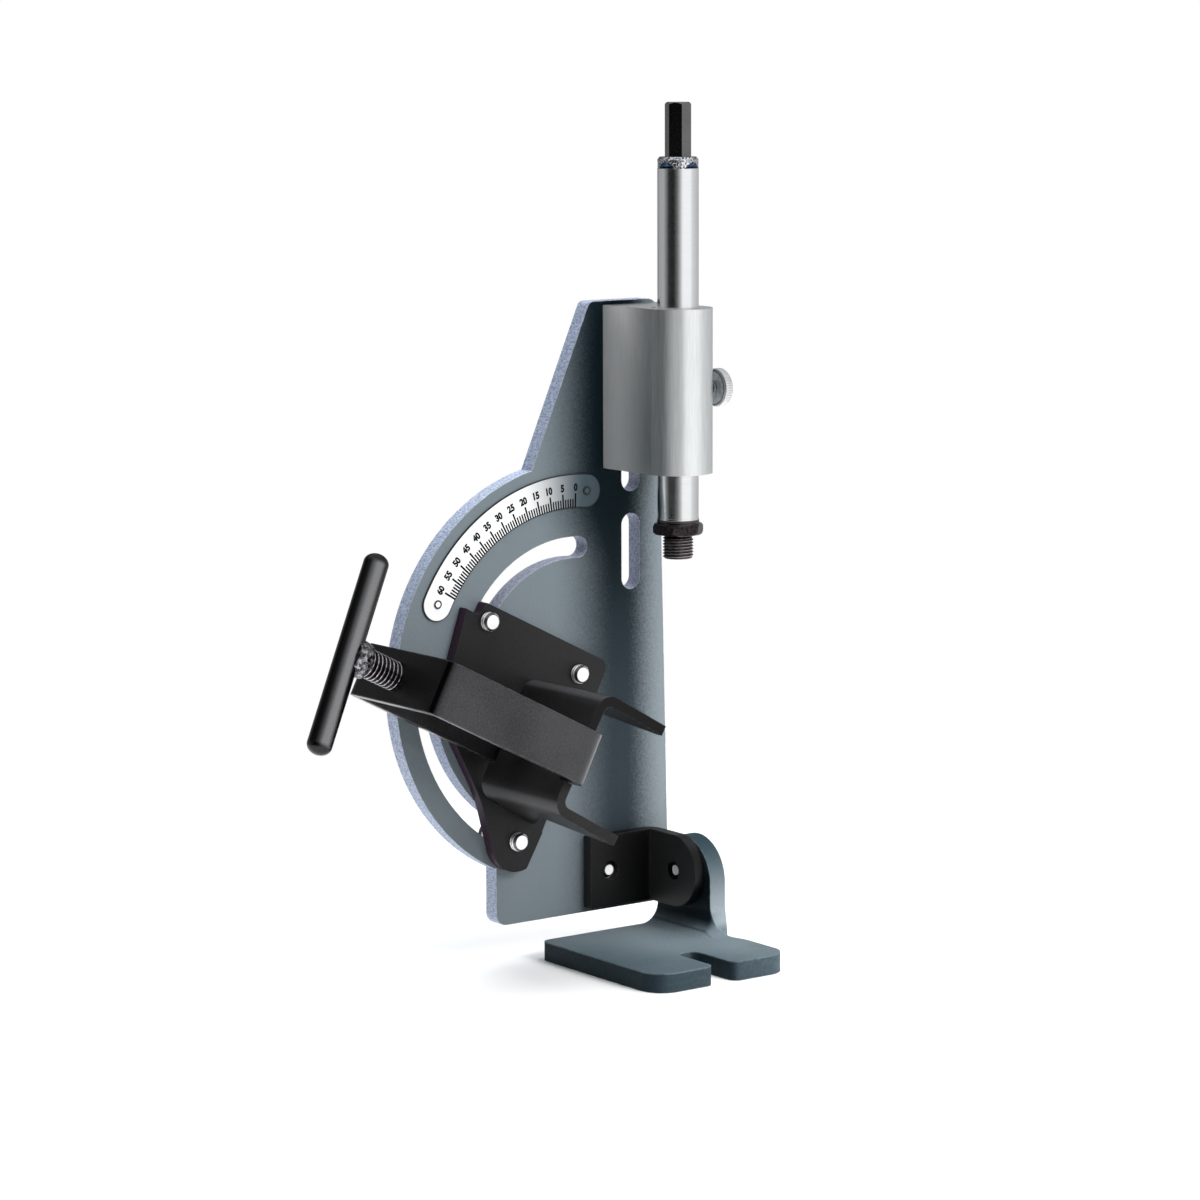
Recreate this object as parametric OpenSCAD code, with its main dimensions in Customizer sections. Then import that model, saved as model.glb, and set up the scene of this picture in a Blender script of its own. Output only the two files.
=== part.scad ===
// Tube notcher: a slotted mast plate with an angle scale carries a bearing block with a sliding,
// turning spindle, and a clamp that holds a tube at a set angle below the hole saw.
// X runs along the mast plate, Y from the front to the back, Z up.
// The origin is on the spindle's axis, at the surface that the foot stands on.

/* [Layout] */
// Height of the mast plate's bottom edge above the surface under the foot
ground_gap = 16; // [15.5:0.5:24]
// Distance along X from the clamp's pivot to the spindle's axis
pivot_to_spindle = 31; // [28:0.5:36]
// Distance from the spindle's axis to the front face of the mast plate
spindle_to_plate = 32.5; // [30:0.5:38]
// Reading of the angle scale at which the clamp stands, in degrees
clamp_reading = 60; // [0:1:60]

/* [Mast plate] */
// Thickness of the mast plate
plate_t = 7.5; // [6:0.5:10]
// Radius of the plate's round side about the pivot
plate_r = 88; // [86:1:96]
// Height of the plate's top edge above the pivot
plate_top = 154; // [150:1:165]
// Depth of the plate's bottom edge below the pivot
plate_bottom = 103; // [100:1:104]
// Right edge at the top, from the pivot
plate_right_top = 45; // [44:0.5:48]
// Right edge at the bottom, from the pivot
plate_right_bottom = 51; // [48:0.5:54]
// Left corner of the neck at the top, from the pivot
neck_left = 10; // [5:0.5:12]
// Distance to the left of the pivot at which the neck's edge meets the round side
neck_root = 20.5; // [18:0.5:24]
// Left edge of the plate's lower block, from the pivot
toe_left = 39; // [36:0.5:44]
// Radius of the plate's large corners
plate_corner_r = 5; // [3:0.5:7]
// Radius of the plate's small and inner corners
plate_small_r = 3; // [2:0.5:4]
// Width of the plate's upright slots
mast_slot_w = 9.4; // [9:0.1:10]
// Length of the lower upright slot
low_slot_len = 32; // [26:1:34]
// Height of the lower upright slot's bottom end above the pivot
low_slot_base = 32.5; // [28:0.5:34]
// Bridge of metal between the two upright slots
slot_bridge = 9.3; // [8:0.5:12]

/* [Angle slots] */
// Width of the two curved slots
arc_slot_w = 8.9; // [8.6:0.1:10]
// Distance from the plate's round side to the middle of the inner curved slot
inner_slot_in = 35.5; // [33:0.5:38]
// Distance from the plate's round side to the middle of the outer curved slot
outer_slot_in = 13.8; // [12:0.2:15]
// Angle from the index edge to the outer slot's bolt, in degrees
outer_bolt_angle = 94.7; // [93:0.1:97]
// Spare travel of the slots past each end of the scale, in degrees
slot_spare_deg = 4.1; // [1:0.1:5]

/* [Angle scale] */
// Distance from the plate's round side to the middle of the scale strip
scale_in = 11.9; // [10:0.1:12]
// Width of the scale strip
scale_w = 14.1; // [10:0.1:14.1]
// Thickness of the scale strip
scale_t = 0.8; // [0.5:0.1:1]
// Turn of the zero mark from straight up towards the left, in degrees
scale_zero = -1.4; // [-2:0.1:0]
// Angle from the first and last marks to the rivets, in degrees
rivet_past_deg = 4.3; // [3:0.1:6]
// Diameter of the rivets' heads
rivet_d = 3.6; // [3:0.1:5]
// Height of the rivets' heads above the strip
rivet_h = 0.4; // [0.2:0.1:0.8]

/* [Bearing block] */
// Width of the block, and diameter of its round nose
block_w = 28.5; // [27:0.5:32]
// Height of the block
block_h = 68; // [64:1:76]
// Height of the block's lower face above the pivot
block_base = 84.4; // [82:0.2:86]
// Chamfer at the mouths of the block's bore
bore_chamfer = 0.8; // [0.4:0.1:1]
// Distance between the block's two bolts
block_bolt_pitch = 40; // [36:1:44]
// How far the block's bolts go into it
block_bolt_reach = 12; // [8:0.5:13]
// How far the block can be let down along its slot
block_drop = 20; // [15:1:20]
// Outside diameter of the spindle's bushes
bush_od = 21; // [20:0.5:23]
// Length of each bush
bush_len = 20; // [14:1:24]
// How deep each bush sits below the block's face
bush_inset = 1; // [0.5:0.1:2]

/* [Spindle] */
// Diameter of the spindle's shaft
shaft_d = 17; // [15:0.5:18]
// Length of the spindle's shaft
shaft_len = 149.5; // [145:0.5:156]
// Chamfer at the ends of the shaft
shaft_chamfer = 1; // [0.5:0.1:2]
// How far the shaft stands below the block
shaft_below = 20; // [19:0.5:22]
// Width across the flats of the hexagonal shank
shank_af = 9.53; // [8:0.01:11]
// Length of the hexagonal shank
shank_len = 22.1; // [18:0.1:28]
// Chamfer at the top of the shank
shank_chamfer = 0.9; // [0.5:0.1:1.5]
// Width across the flats of the arbor's flange
flange_af = 19.05; // [18:0.05:22]
// Thickness of the arbor's flange
flange_t = 5.4; // [4:0.1:7]
// Outside diameter of the arbor's thread
arbor_d = 12.7; // [12:0.1:14]
// Length of the arbor's thread
arbor_len = 10; // [8:0.5:14]
// Diameter of the neck between the flange and the thread
arbor_neck_d = 11; // [10:0.1:11.5]
// Length of that neck
arbor_neck_len = 1; // [0.6:0.1:1.5]
// Thickness of the thrust washer above the flange
thrust_t = 1.6; // [1:0.1:1.6]
// Outside diameter of the thrust washer
thrust_od = 21.5; // [20:0.5:24]

/* [Thumb screw] */
// Diameter of the thumb screw's knurled head
knob_d = 16; // [14:0.5:18]
// Thickness of the knurled head
knob_t = 4.6; // [3:0.2:7]
// Diameter of the collar under the head
knob_collar_d = 5.5; // [5:0.5:12]
// Length of the collar under the head
knob_collar_t = 4; // [1:0.2:6]
// Diameter of the thumb screw's thread
knob_thread_d = 5; // [4.5:0.5:8]
// Chamfer on the edges of the head
knob_chamfer = 0.6; // [0.3:0.1:1]

/* [Clamp plate] */
// Thickness of the clamp plate
clamp_t = 5; // [4:0.5:6]
// Gap between the index edge's tip and the scale strip
index_gap = 4; // [3:0.2:8]
// Depth of the step beside the index edge
index_step = 7.4; // [5:0.2:9]
// Radius of the step's inner corner
index_fillet_r = 2.2; // [1:0.2:3]
// Distance from the pivot to the clamp plate's end past the index edge
clamp_nose = 10.6; // [9:0.2:11]
// Distance from the pivot to the clamp plate's straight side
clamp_side = 12; // [10:0.2:14]
// How much farther out that straight side is at the outer bolt
clamp_side_taper = 4; // [2:0.2:5]
// Radius of the clamp plate's lobe round the outer bolt
lobe_r = 12.8; // [11:0.2:14]
// Radius of the clamp plate's corners
clamp_corner_r = 4; // [2:0.5:5]
// Radius of the sweep in the clamp plate's long side
clamp_sweep_r = 60; // [40:5:80]

/* [V jaw] */
// Thickness of the jaw's metal
jaw_t = 4.2; // [3:0.1:5]
// Height of the jaw along the tube
jaw_len = 53; // [50:1:58]
// Distance from the index edge's line to the jaw's near end
jaw_near = 11.5; // [11:0.5:14]
// Distance from the pivot to the back of the jaw's web
jaw_back = 26.8; // [25:0.2:28]
// Reach of the jaw's sides from the back of its web
jaw_reach = 35.8; // [34:0.2:40]
// Outside radius of the jaw's bends
jaw_bend_r = 7.5; // [6:0.5:9]
// Depth of the V
vee_depth = 16.5; // [14:0.5:18]
// Half the width of the V at its mouth
vee_half_w = 26; // [22:0.5:26]
// Length of the tabs that join the jaw to the clamp plate
jaw_tab_len = 22; // [16:1:24]

/* [Strap] */
// Thickness of the strap's metal
strap_t = 4; // [3:0.1:4.5]
// Width of the strap
strap_w = 22; // [18:0.5:26]
// How far the strap's middle lies past the jaw's middle
strap_shift = 1.4; // [0:0.1:3]
// Depth of the strap's loop, outside
strap_depth = 61; // [58:0.5:64]
// Length of the strap's loop, outside
strap_len = 84.8; // [80:0.2:90]
// Outside radius of the bend at the strap's free end
strap_bend_r = 7.5; // [6:0.5:9]
// Outside radius of the bends at the screw's end
strap_tight_r = 5; // [4.5:0.5:8]
// Lean of the strap and its screw, in degrees: the screw's end hangs lower
strap_lean = 3; // [0:0.5:4]
// How far the strap opens
strap_travel = 65; // [55:1:66]

/* [Clamp screw] */
// Diameter of the clamp screw
screw_d = 12; // [10:0.5:14]
// Distance from the screw plate to the middle of the handle
handle_out = 24; // [20:0.5:34]
// Diameter of the handle
handle_d = 10.2; // [8:0.2:12]
// Length of the handle
handle_len = 84; // [70:1:96]
// Turn of the handle from the tube's direction, in degrees
handle_turn = 8; // [-30:1:30]
// Size of the weld between screw and handle
weld_size = 3.4; // [2:0.2:5]
// Taper at the screw's end
screw_taper = 1.5; // [1:0.1:2.5]

/* [Hinge bracket] */
// Thickness of the bracket's metal
bracket_t = 5; // [4:0.5:6]
// Width of the bracket along the mast plate
bracket_w = 36; // [34:0.5:40]
// Height of the bracket
bracket_h = 30.5; // [28:0.5:34]
// Distance from the spindle's axis to the outer face of the bracket's ear
bracket_reach = 11; // [9:0.5:13]
// Distance from the mast plate's face to the hinge's axis
hinge_out = 21.3; // [20:0.1:23]
// Height of the hinge's axis above the mast plate's bottom edge
hinge_rise = 17.5; // [16.5:0.5:20]
// Distance from the bracket's left edge to its bolt
bracket_bolt_in = 10.4; // [9:0.2:13]
// Outside radius of the bracket's bend
bracket_bend_r = 6; // [5.5:0.5:8]

/* [Foot] */
// Thickness of the foot's metal
foot_t = 8; // [6:0.5:10]
// Width of the foot along the mast plate
foot_w = 69.6; // [62:0.2:80]
// Depth of the foot from back to front
foot_d = 79.5; // [74:0.5:90]
// Gap between the plane of the mast plate's face and the foot's back edge
foot_setback = 4; // [3:0.5:6]
// Height of the foot's ear above the hinge's axis
ear_rise = 14.5; // [14:0.5:18]
// Width of the foot's ear
ear_w = 36; // [34:0.5:40]
// Inside radius of the foot's bend
foot_bend_r = 8.5; // [4:0.5:9]
// Radius of the foot's front corners
foot_corner_r = 10.5; // [8:0.5:12]
// Radius of the foot's back corner and the slot's mouth
foot_small_r = 4; // [3:0.5:5]
// Radius of the sweep from the ear's front edge into the foot
ear_sweep_r = 17; // [10:0.5:20]
// Width of the foot's bolt slot
foot_slot_w = 9.8; // [8:0.2:12]
// Depth of the foot's bolt slot
foot_slot_d = 26.5; // [22:0.5:32]

/* [Fasteners] */
// Diameter of the bolts
bolt_d = 8; // [7:0.5:8]
// Width across the flats of the bolts' heads
head_af = 13; // [12:0.5:14]
// Height of the bolts' heads
head_h = 5.3; // [4:0.1:6]
// Outside diameter of the washers
washer_od = 17; // [16:0.5:18]
// Thickness of the washers
washer_t = 1.6; // [1:0.1:2]
// How far the clamp's bolts stand out of the clamp plate
bolt_tip = 3; // [1:0.2:4]
// Chamfer at the end of each bolt
bolt_chamfer = 0.9; // [0.5:0.1:1.2]
// How far the bracket's bolts stop short of its face
bolt_recess = 1.2; // [0.5:0.1:2]

/* [Fits] */
// Gap between flat faces that slide on each other
slide_gap = 0.1; // [0.05:0.05:0.2]
// Radial clearance of what turns in a bore
running_gap = 0.05; // [0.02:0.01:0.08]
// Radial clearance of a bolt in a plain hole
hole_gap = 0.3; // [0.2:0.05:0.4]
// Gap between the strap and the jaw
strap_gap = 0.4; // [0.3:0.1:0.6]
// Gap between the thumb screw's tip and the shaft
tip_gap = 0.3; // [0.2:0.1:0.5]

/* [Hidden] */
$fn = 96;

// Overrun of every cut past the face that it breaks
cut = 1;
// Highest reading of the angle scale, in degrees
scale_span = 60;
// Steps in a rounded end's quarter arc
arc_steps = 8;
// Width of the flat on a bolt's head, and on the arbor's flange, as shares of the width across the flats
crown_share = 0.95;
flange_crown_share = 1.03;
// Length of the handle's rounded end as a share of its radius
handle_end_share = 0.8;
// How far above the toe's corner the plate's round side ends
toe_step = plate_small_r / 6;
// Skin of weld between the screw's end and the handle
weld_skin = 3 * slide_gap;

// Heights above the surface
pivot_height = plate_bottom + ground_gap;
hinge_height = pivot_height - plate_bottom + hinge_rise;
ear_top = hinge_height + ear_rise;

// Heights above the pivot
shaft_base = block_base - shaft_below;
block_mid = block_base + block_h / 2;
high_slot_base = low_slot_base + low_slot_len + slot_bridge;
high_slot_top = block_mid + (block_bolt_pitch + mast_slot_w) / 2;

// Places across the foot and the bracket, from the spindle's axis
ear_inner = bracket_reach + slide_gap;
foot_right = ear_inner + foot_t;
foot_left = foot_right - foot_w;
foot_back = spindle_to_plate - foot_setback;
foot_front = foot_back - foot_d;
foot_outer_bend_r = foot_bend_r + foot_t;
hinge_y = spindle_to_plate - hinge_out;
bracket_left = bracket_reach - bracket_w;
bracket_bolt_x = bracket_left + bracket_bolt_in;

// Depths in front of the mast plate's face, for what the clamp plate carries
clamp_face = slide_gap + clamp_t;
strap_back = clamp_face + slide_gap;
strap_front = strap_back + strap_depth;
jaw_far = strap_back + strap_t + strap_gap;
jaw_face = strap_front - strap_t - strap_gap;

// Places in the clamp's own plane: x along the tube, z from the jaw towards the screw
strap_mid = -(jaw_near + jaw_len / 2) - strap_shift;
jaw_relief = strap_bend_r - strap_t;
strap_low = jaw_back - (jaw_t + slide_gap + strap_w / 2 * sin(strap_lean)) / cos(strap_lean) - strap_t;
strap_high = strap_low + strap_len;
handle_z = strap_high + handle_out;
inner_slot_r = plate_r - inner_slot_in;
outer_slot_r = plate_r - outer_slot_in;
scale_r = plate_r - scale_in;
index_r = scale_r - scale_w / 2 - index_gap;
outer_bolt = outer_slot_r * [-sin(outer_bolt_angle), cos(outer_bolt_angle)];

function heading(from, to) = (to - from) / norm(to - from);
function side(v) = [-v[1], v[0]];
function turn(a, b) = a[0] * b[1] - a[1] * b[0];
// Length from a corner to where its arc starts
function tangent(p, q, r, radius) =
    let (a = heading(q, p), b = heading(q, r))
    radius * sqrt((1 + a * b) / (1 - a * b));

// An outline, walked round anticlockwise, whose corners are true arcs. Each corner is cut straight
// across, then the arc's segment fills out an outer corner or hollows an inner one.
module rounded_outline(points, radii) {
    n = len(points);
    ends = [for (i = [0:n - 1])
        let (p = points[(i + n - 1) % n], q = points[i], r = points[(i + 1) % n],
             t = tangent(p, q, r, radii[i]))
        [q + heading(q, p) * t, q + heading(q, r) * t]];
    turns = [for (i = [0:n - 1])
        let (p = points[(i + n - 1) % n], q = points[i], r = points[(i + 1) % n])
        turn(heading(p, q), heading(q, r)) > 0 ? 1 : -1];
    difference() {
        union() {
            polygon([for (i = [0:n - 1]) for (k = [0, 1]) if (k == 0 || radii[i] > 0) ends[i][k]]);
            for (i = [0:n - 1]) if (turns[i] > 0 && radii[i] > 0)
                corner_segment(points[i], ends[i], radii[i], side(heading(ends[i][0], points[i])));
        }
        for (i = [0:n - 1]) if (turns[i] < 0 && radii[i] > 0)
            corner_segment(points[i], ends[i], radii[i], -side(heading(ends[i][0], points[i])));
    }
}

module corner_segment(corner, ends, radius, inward) intersection() {
    translate(ends[0] + inward * radius) circle(radius);
    polygon([ends[0], corner, ends[1]]);
}

// A flat shape drawn in X and Z, standing up: its back is at y and it reaches t towards the front
module upright(y, t) translate([0, y, 0]) rotate([90, 0, 0]) linear_extrude(t) children();

// A direction in the plate's plane, by its angle from straight up towards the left
function heading_at(angle) = [-sin(angle), cos(angle)];

module sector(radius, from, to) {
    far = 2 * radius;
    polygon([[0, 0], far * heading_at(from), far * heading_at((from + to) / 2), far * heading_at(to)]);
}

// A curved band with round ends about the pivot
module arc_band(radius, width, from, to) {
    intersection() {
        difference() {
            circle(radius + width / 2);
            circle(radius - width / 2);
        }
        sector(radius, from, to);
    }
    for (angle = [from, to]) translate(radius * heading_at(angle)) circle(width / 2);
}

module slot_2d(width, length) {
    translate([-width / 2, width / 2]) square([width, length - width]);
    for (z = [width / 2, length - width / 2]) translate([0, z]) circle(width / 2);
}

module at_pivot() translate([-pivot_to_spindle, spindle_to_plate, pivot_height]) children();
module at_clamp() at_pivot() rotate([0, -clamp_reading, 0]) children();

// A hexagon by its width across the flats
module hexagon(af, h) cylinder(d = af / cos(30), h = h, $fn = 6);

// A bolt that points along +Z, with the underside of its head at zero
module bolt(length) {
    translate([0, 0, -head_h]) intersection() {
        hexagon(head_af, head_h);
        cylinder(d1 = crown_share * head_af, d2 = crown_share * head_af + 2 * head_h, h = head_h);
    }
    cylinder(d = bolt_d, h = length - bolt_chamfer);
    translate([0, 0, length - bolt_chamfer])
        cylinder(d1 = bolt_d, d2 = bolt_d - 2 * bolt_chamfer, h = bolt_chamfer);
}

module washer(od, hole, t) difference() {
    cylinder(d = od, h = t);
    translate([0, 0, -cut]) cylinder(d = hole, h = t + 2 * cut);
}

// Turns what points along +Z so that it points to the front
module to_front() rotate([90, 0, 0]) children();

// Foot: one plate with a slot open to the front, bent up into the ear of the hinge
module foot_outline() rounded_outline(
    [[foot_left, foot_front], [foot_right, foot_front],
     [foot_right, foot_back - ear_w], [foot_right - foot_outer_bend_r, foot_back - ear_w],
     [foot_right - foot_outer_bend_r, foot_back], [foot_left, foot_back]],
    [foot_corner_r, foot_corner_r, 0, 0, 0, foot_small_r]);

module foot_slot() {
    mid = (foot_left + foot_right) / 2;
    end = foot_front + foot_slot_d - foot_slot_w / 2;
    translate([mid, end]) circle(d = foot_slot_w);
    translate([mid - foot_slot_w / 2, foot_front - cut]) square([foot_slot_w, end - foot_front + cut]);
    // The mouth's corners are rounded off
    for (s = [-1, 1]) translate([mid + s * foot_slot_w / 2, foot_front]) difference() {
        translate([s > 0 ? -cut : -foot_small_r, -cut]) square([foot_small_r + cut, foot_small_r + cut]);
        translate([s * foot_small_r, foot_small_r]) circle(foot_small_r);
    }
}

module foot_ear() {
    from = foot_right - foot_outer_bend_r;
    front = foot_back - ear_w;
    intersection() {
        upright(foot_back, ear_w) rounded_outline(
            [[from, 0], [foot_right, 0], [foot_right, ear_top], [ear_inner, ear_top],
             [ear_inner, foot_t], [from, foot_t]],
            [0, foot_outer_bend_r, 0, 0, foot_bend_r, 0]);
        translate([from, 0, 0]) rotate([90, 0, 90]) linear_extrude(foot_outer_bend_r) rounded_outline(
            [[front, 0], [foot_back, 0], [foot_back, ear_top], [front, ear_top]],
            [0, 0, ear_w / 2, ear_w / 2]);
    }
    // The hollow of the bend runs out to the front, under a sweep
    intersection() {
        upright(front, ear_sweep_r) difference() {
            translate([from, 0]) square([foot_bend_r, foot_t + foot_bend_r]);
            translate([from, foot_t + foot_bend_r]) circle(foot_bend_r);
        }
        translate([from, 0, 0]) rotate([90, 0, 90]) linear_extrude(foot_bend_r) difference() {
            translate([front - ear_sweep_r, 0]) square([ear_sweep_r, foot_t + ear_sweep_r]);
            translate([front - ear_sweep_r, foot_t + ear_sweep_r]) circle(ear_sweep_r);
        }
    }
}

module foot() color([0.33, 0.39, 0.43]) difference() {
    union() {
        linear_extrude(foot_t) difference() {
            foot_outline();
            foot_slot();
        }
        foot_ear();
    }
    translate([ear_inner - cut, hinge_y, hinge_height]) rotate([0, 90, 0])
        cylinder(r = bolt_d / 2 + running_gap, h = foot_t + 2 * cut);
}

// Hinge bracket: an angle whose tapped leg lies on the mast plate and whose tapped ear is rounded
module bracket_profile() rounded_outline(
    [[bracket_left, -slide_gap - bracket_t], [bracket_reach - bracket_t, -slide_gap - bracket_t],
     [bracket_reach - bracket_t, -hinge_out - bracket_h / 2], [bracket_reach, -hinge_out - bracket_h / 2],
     [bracket_reach, -slide_gap], [bracket_left, -slide_gap]],
    [0, bracket_bend_r - bracket_t, 0, 0, bracket_bend_r, 0]);

module hinge_bracket() color([0.09, 0.09, 0.1]) difference() {
    intersection() {
        translate([0, spindle_to_plate, hinge_height - bracket_h / 2]) linear_extrude(bracket_h) bracket_profile();
        translate([bracket_left, hinge_y, hinge_height]) rotate([0, 90, 0]) union() {
            cylinder(d = bracket_h, h = bracket_w);
            translate([-bracket_h / 2, 0, 0]) cube([bracket_h, hinge_out, bracket_w]);
        }
    }
    translate([bracket_bolt_x, spindle_to_plate + cut, hinge_height]) to_front()
        cylinder(d = bolt_d, h = bracket_t + slide_gap + 2 * cut);
    translate([bracket_reach - bracket_t - cut, hinge_y, hinge_height]) rotate([0, 90, 0])
        cylinder(d = bolt_d, h = bracket_t + 2 * cut);
}

module hinge_bolt() color([0.75, 0.75, 0.77])
    translate([foot_right + slide_gap + washer_t, hinge_y, hinge_height]) rotate([0, -90, 0])
        bolt(washer_t + foot_t + 2 * slide_gap + bracket_t - bolt_recess);

module hinge_washer() color([0.75, 0.75, 0.77])
    translate([foot_right + slide_gap, hinge_y, hinge_height]) rotate([0, 90, 0])
        washer(washer_od, bolt_d, washer_t);

module at_bracket_bolt() translate([bracket_bolt_x, spindle_to_plate + plate_t + slide_gap, hinge_height]) children();

module bracket_bolt() color([0.75, 0.75, 0.77])
    at_bracket_bolt() translate([0, washer_t, 0]) to_front()
        bolt(washer_t + plate_t + 2 * slide_gap + bracket_t - bolt_recess);

module bracket_washer() color([0.75, 0.75, 0.77])
    at_bracket_bolt() translate([0, washer_t, 0]) to_front() washer(washer_od, bolt_d, washer_t);

// Mast plate: a neck, a round side with two curved slots, and a square toe
module mast_outline() {
    right = function (z) plate_right_top + (plate_right_bottom - plate_right_top) * (plate_top - z) / (plate_top + plate_bottom);
    root_z = sqrt(plate_r * plate_r - neck_root * neck_root);
    toe_z = sqrt(plate_r * plate_r - toe_left * toe_left);
    intersection() {
        circle(plate_r, $fn = 2 * $fn);
        translate([-2 * plate_r, toe_step - toe_z]) square([2 * plate_r, root_z + toe_z - toe_step]);
    }
    rounded_outline(
        [[-neck_left / 2, 0], [-toe_left, -toe_z + plate_small_r], [-toe_left, -plate_bottom],
         [right(-plate_bottom), -plate_bottom], [right(plate_top), plate_top], [neck_left, plate_top],
         [-neck_root, root_z - plate_small_r / 2], [-neck_root / 2, root_z / 2]],
        [0, 0, plate_corner_r, plate_corner_r, plate_corner_r, plate_small_r, 0, 0]);
}

module mast_plate() color([0.33, 0.39, 0.43]) difference() {
    at_pivot() upright(plate_t, plate_t) difference() {
        mast_outline();
        arc_band(inner_slot_r, arc_slot_w, -slot_spare_deg, scale_span + slot_spare_deg);
        arc_band(outer_slot_r, arc_slot_w, outer_bolt_angle - slot_spare_deg,
                 outer_bolt_angle + scale_span + slot_spare_deg);
        translate([pivot_to_spindle, high_slot_base]) slot_2d(mast_slot_w, high_slot_top - high_slot_base);
        translate([pivot_to_spindle, low_slot_base]) slot_2d(mast_slot_w, low_slot_len);
    }
    at_pivot() translate([0, plate_t + cut, 0]) to_front()
        cylinder(r = bolt_d / 2 + running_gap, h = plate_t + 2 * cut);
    at_bracket_bolt() translate([0, cut, 0]) to_front()
        cylinder(r = bolt_d / 2 + running_gap, h = plate_t + slide_gap + 2 * cut);
}

// Angle scale: a thin curved strip, riveted at both ends
module scale_rivet_places() for (angle = [scale_zero - rivet_past_deg, scale_zero + scale_span + rivet_past_deg])
    translate([scale_r * heading_at(angle)[0], 0, scale_r * heading_at(angle)[1]]) children();

module angle_scale() color([0.86, 0.87, 0.88]) at_pivot()
    upright(0, scale_t)
        arc_band(scale_r, scale_w, scale_zero - rivet_past_deg, scale_zero + scale_span + rivet_past_deg);

module scale_rivets() color([0.8, 0.81, 0.82]) at_pivot() scale_rivet_places()
    translate([0, -scale_t, 0]) to_front() cylinder(d = rivet_d, h = rivet_h);

// Bearing block: a bar with one round side, bored from top to bottom for two bushes
module at_block() translate([0, 0, pivot_height + block_base]) children();

module bearing_block() color([0.68, 0.69, 0.7]) at_block() difference() {
    union() {
        cylinder(d = block_w, h = block_h, $fn = 2 * $fn);
        translate([-block_w / 2, 0, 0]) cube([block_w, spindle_to_plate - slide_gap, block_h]);
    }
    translate([0, 0, -cut]) cylinder(d = shaft_d + 2 * hole_gap, h = block_h + 2 * cut);
    for (z = [-cut, block_h - bush_inset - bush_len])
        translate([0, 0, z]) cylinder(d = bush_od, h = bush_len + bush_inset + cut);
    translate([0, 0, -cut]) cylinder(d1 = bush_od + 2 * (bore_chamfer + cut), d2 = bush_od, h = bore_chamfer + cut);
    translate([0, 0, block_h - bore_chamfer])
        cylinder(d1 = bush_od, d2 = bush_od + 2 * (bore_chamfer + cut), h = bore_chamfer + cut);
    translate([0, 0, block_h / 2]) rotate([0, 90, 0]) cylinder(d = knob_thread_d, h = block_w);
    for (s = [-1, 1]) translate([0, spindle_to_plate + cut, block_h / 2 + s * block_bolt_pitch / 2]) to_front()
        cylinder(d = bolt_d, h = block_bolt_reach + cut);
}

module bush(z) at_block() translate([0, 0, z]) washer(bush_od, shaft_d + 2 * running_gap, bush_len);
module upper_bush() color([0.72, 0.53, 0.28]) bush(block_h - bush_inset - bush_len);
module lower_bush() color([0.72, 0.53, 0.28]) bush(bush_inset);

module at_block_bolts() for (s = [-1, 1])
    translate([0, spindle_to_plate + plate_t + slide_gap + washer_t, pivot_height + block_mid + s * block_bolt_pitch / 2])
        to_front() children();

module block_bolts() color([0.75, 0.75, 0.77]) at_block_bolts()
    bolt(washer_t + plate_t + slide_gap + block_bolt_reach - bolt_chamfer);
module block_washers() color([0.75, 0.75, 0.77]) at_block_bolts() washer(washer_od, bolt_d, washer_t);

// Thumb screw: a knurled head with a collar, whose thread reaches the shaft
module thumb_screw() color([0.75, 0.76, 0.78])
    translate([0, 0, pivot_height + block_mid]) rotate([0, 90, 0]) {
        base = block_w / 2 + slide_gap;
        top = base + knob_collar_t + knob_t;
        translate([0, 0, base]) cylinder(d = knob_collar_d, h = knob_collar_t);
        rotate_extrude() polygon([
            [0, base + knob_collar_t], [knob_d / 2 - knob_chamfer, base + knob_collar_t],
            [knob_d / 2, base + knob_collar_t + knob_chamfer], [knob_d / 2, top - knob_chamfer],
            [knob_d / 2 - knob_chamfer, top], [0, top]]);
        translate([0, 0, shaft_d / 2 + tip_gap])
            cylinder(d = knob_thread_d - 2 * running_gap, h = base - shaft_d / 2 - tip_gap);
    }

// Spindle: shaft, hexagonal shank and screwed arbor turn as one, on a thrust washer
module at_spindle() translate([0, 0, pivot_height + shaft_base]) children();

module thrust_washer() color([0.2, 0.2, 0.21]) at_spindle() washer(thrust_od, shaft_d + 2 * running_gap, thrust_t);

module spindle_shaft() color([0.72, 0.73, 0.74]) at_spindle() rotate_extrude() polygon([
    [0, 0], [shaft_d / 2, 0], [shaft_d / 2, shaft_len - shaft_chamfer],
    [shaft_d / 2 - shaft_chamfer, shaft_len], [0, shaft_len]]);

module drive_shank() color([0.1, 0.1, 0.11]) at_spindle() translate([0, 0, shaft_len]) intersection() {
    rotate([0, 0, 10]) hexagon(shank_af, shank_len);
    cylinder(d1 = shank_af / cos(30) - 2 * shank_chamfer + 2 * shank_len,
             d2 = shank_af / cos(30) - 2 * shank_chamfer, h = shank_len);
}

module arbor() color([0.1, 0.1, 0.11]) at_spindle() rotate([180, 0, 0]) {
    translate([0, 0, slide_gap]) rotate([0, 0, 20]) intersection() {
        hexagon(flange_af, flange_t - slide_gap);
        cylinder(d1 = flange_crown_share * flange_af, d2 = flange_crown_share * flange_af + 2 * flange_t,
                 h = flange_t - slide_gap);
    }
    cylinder(d = arbor_neck_d, h = slide_gap);
    translate([0, 0, flange_t]) cylinder(d = arbor_neck_d, h = arbor_neck_len);
    translate([0, 0, flange_t + arbor_neck_len]) cylinder(d = arbor_d, h = arbor_len - arbor_neck_len - bolt_chamfer);
    translate([0, 0, flange_t + arbor_len - bolt_chamfer])
        cylinder(d1 = arbor_d, d2 = arbor_d - 2 * bolt_chamfer, h = bolt_chamfer);
}

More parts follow.
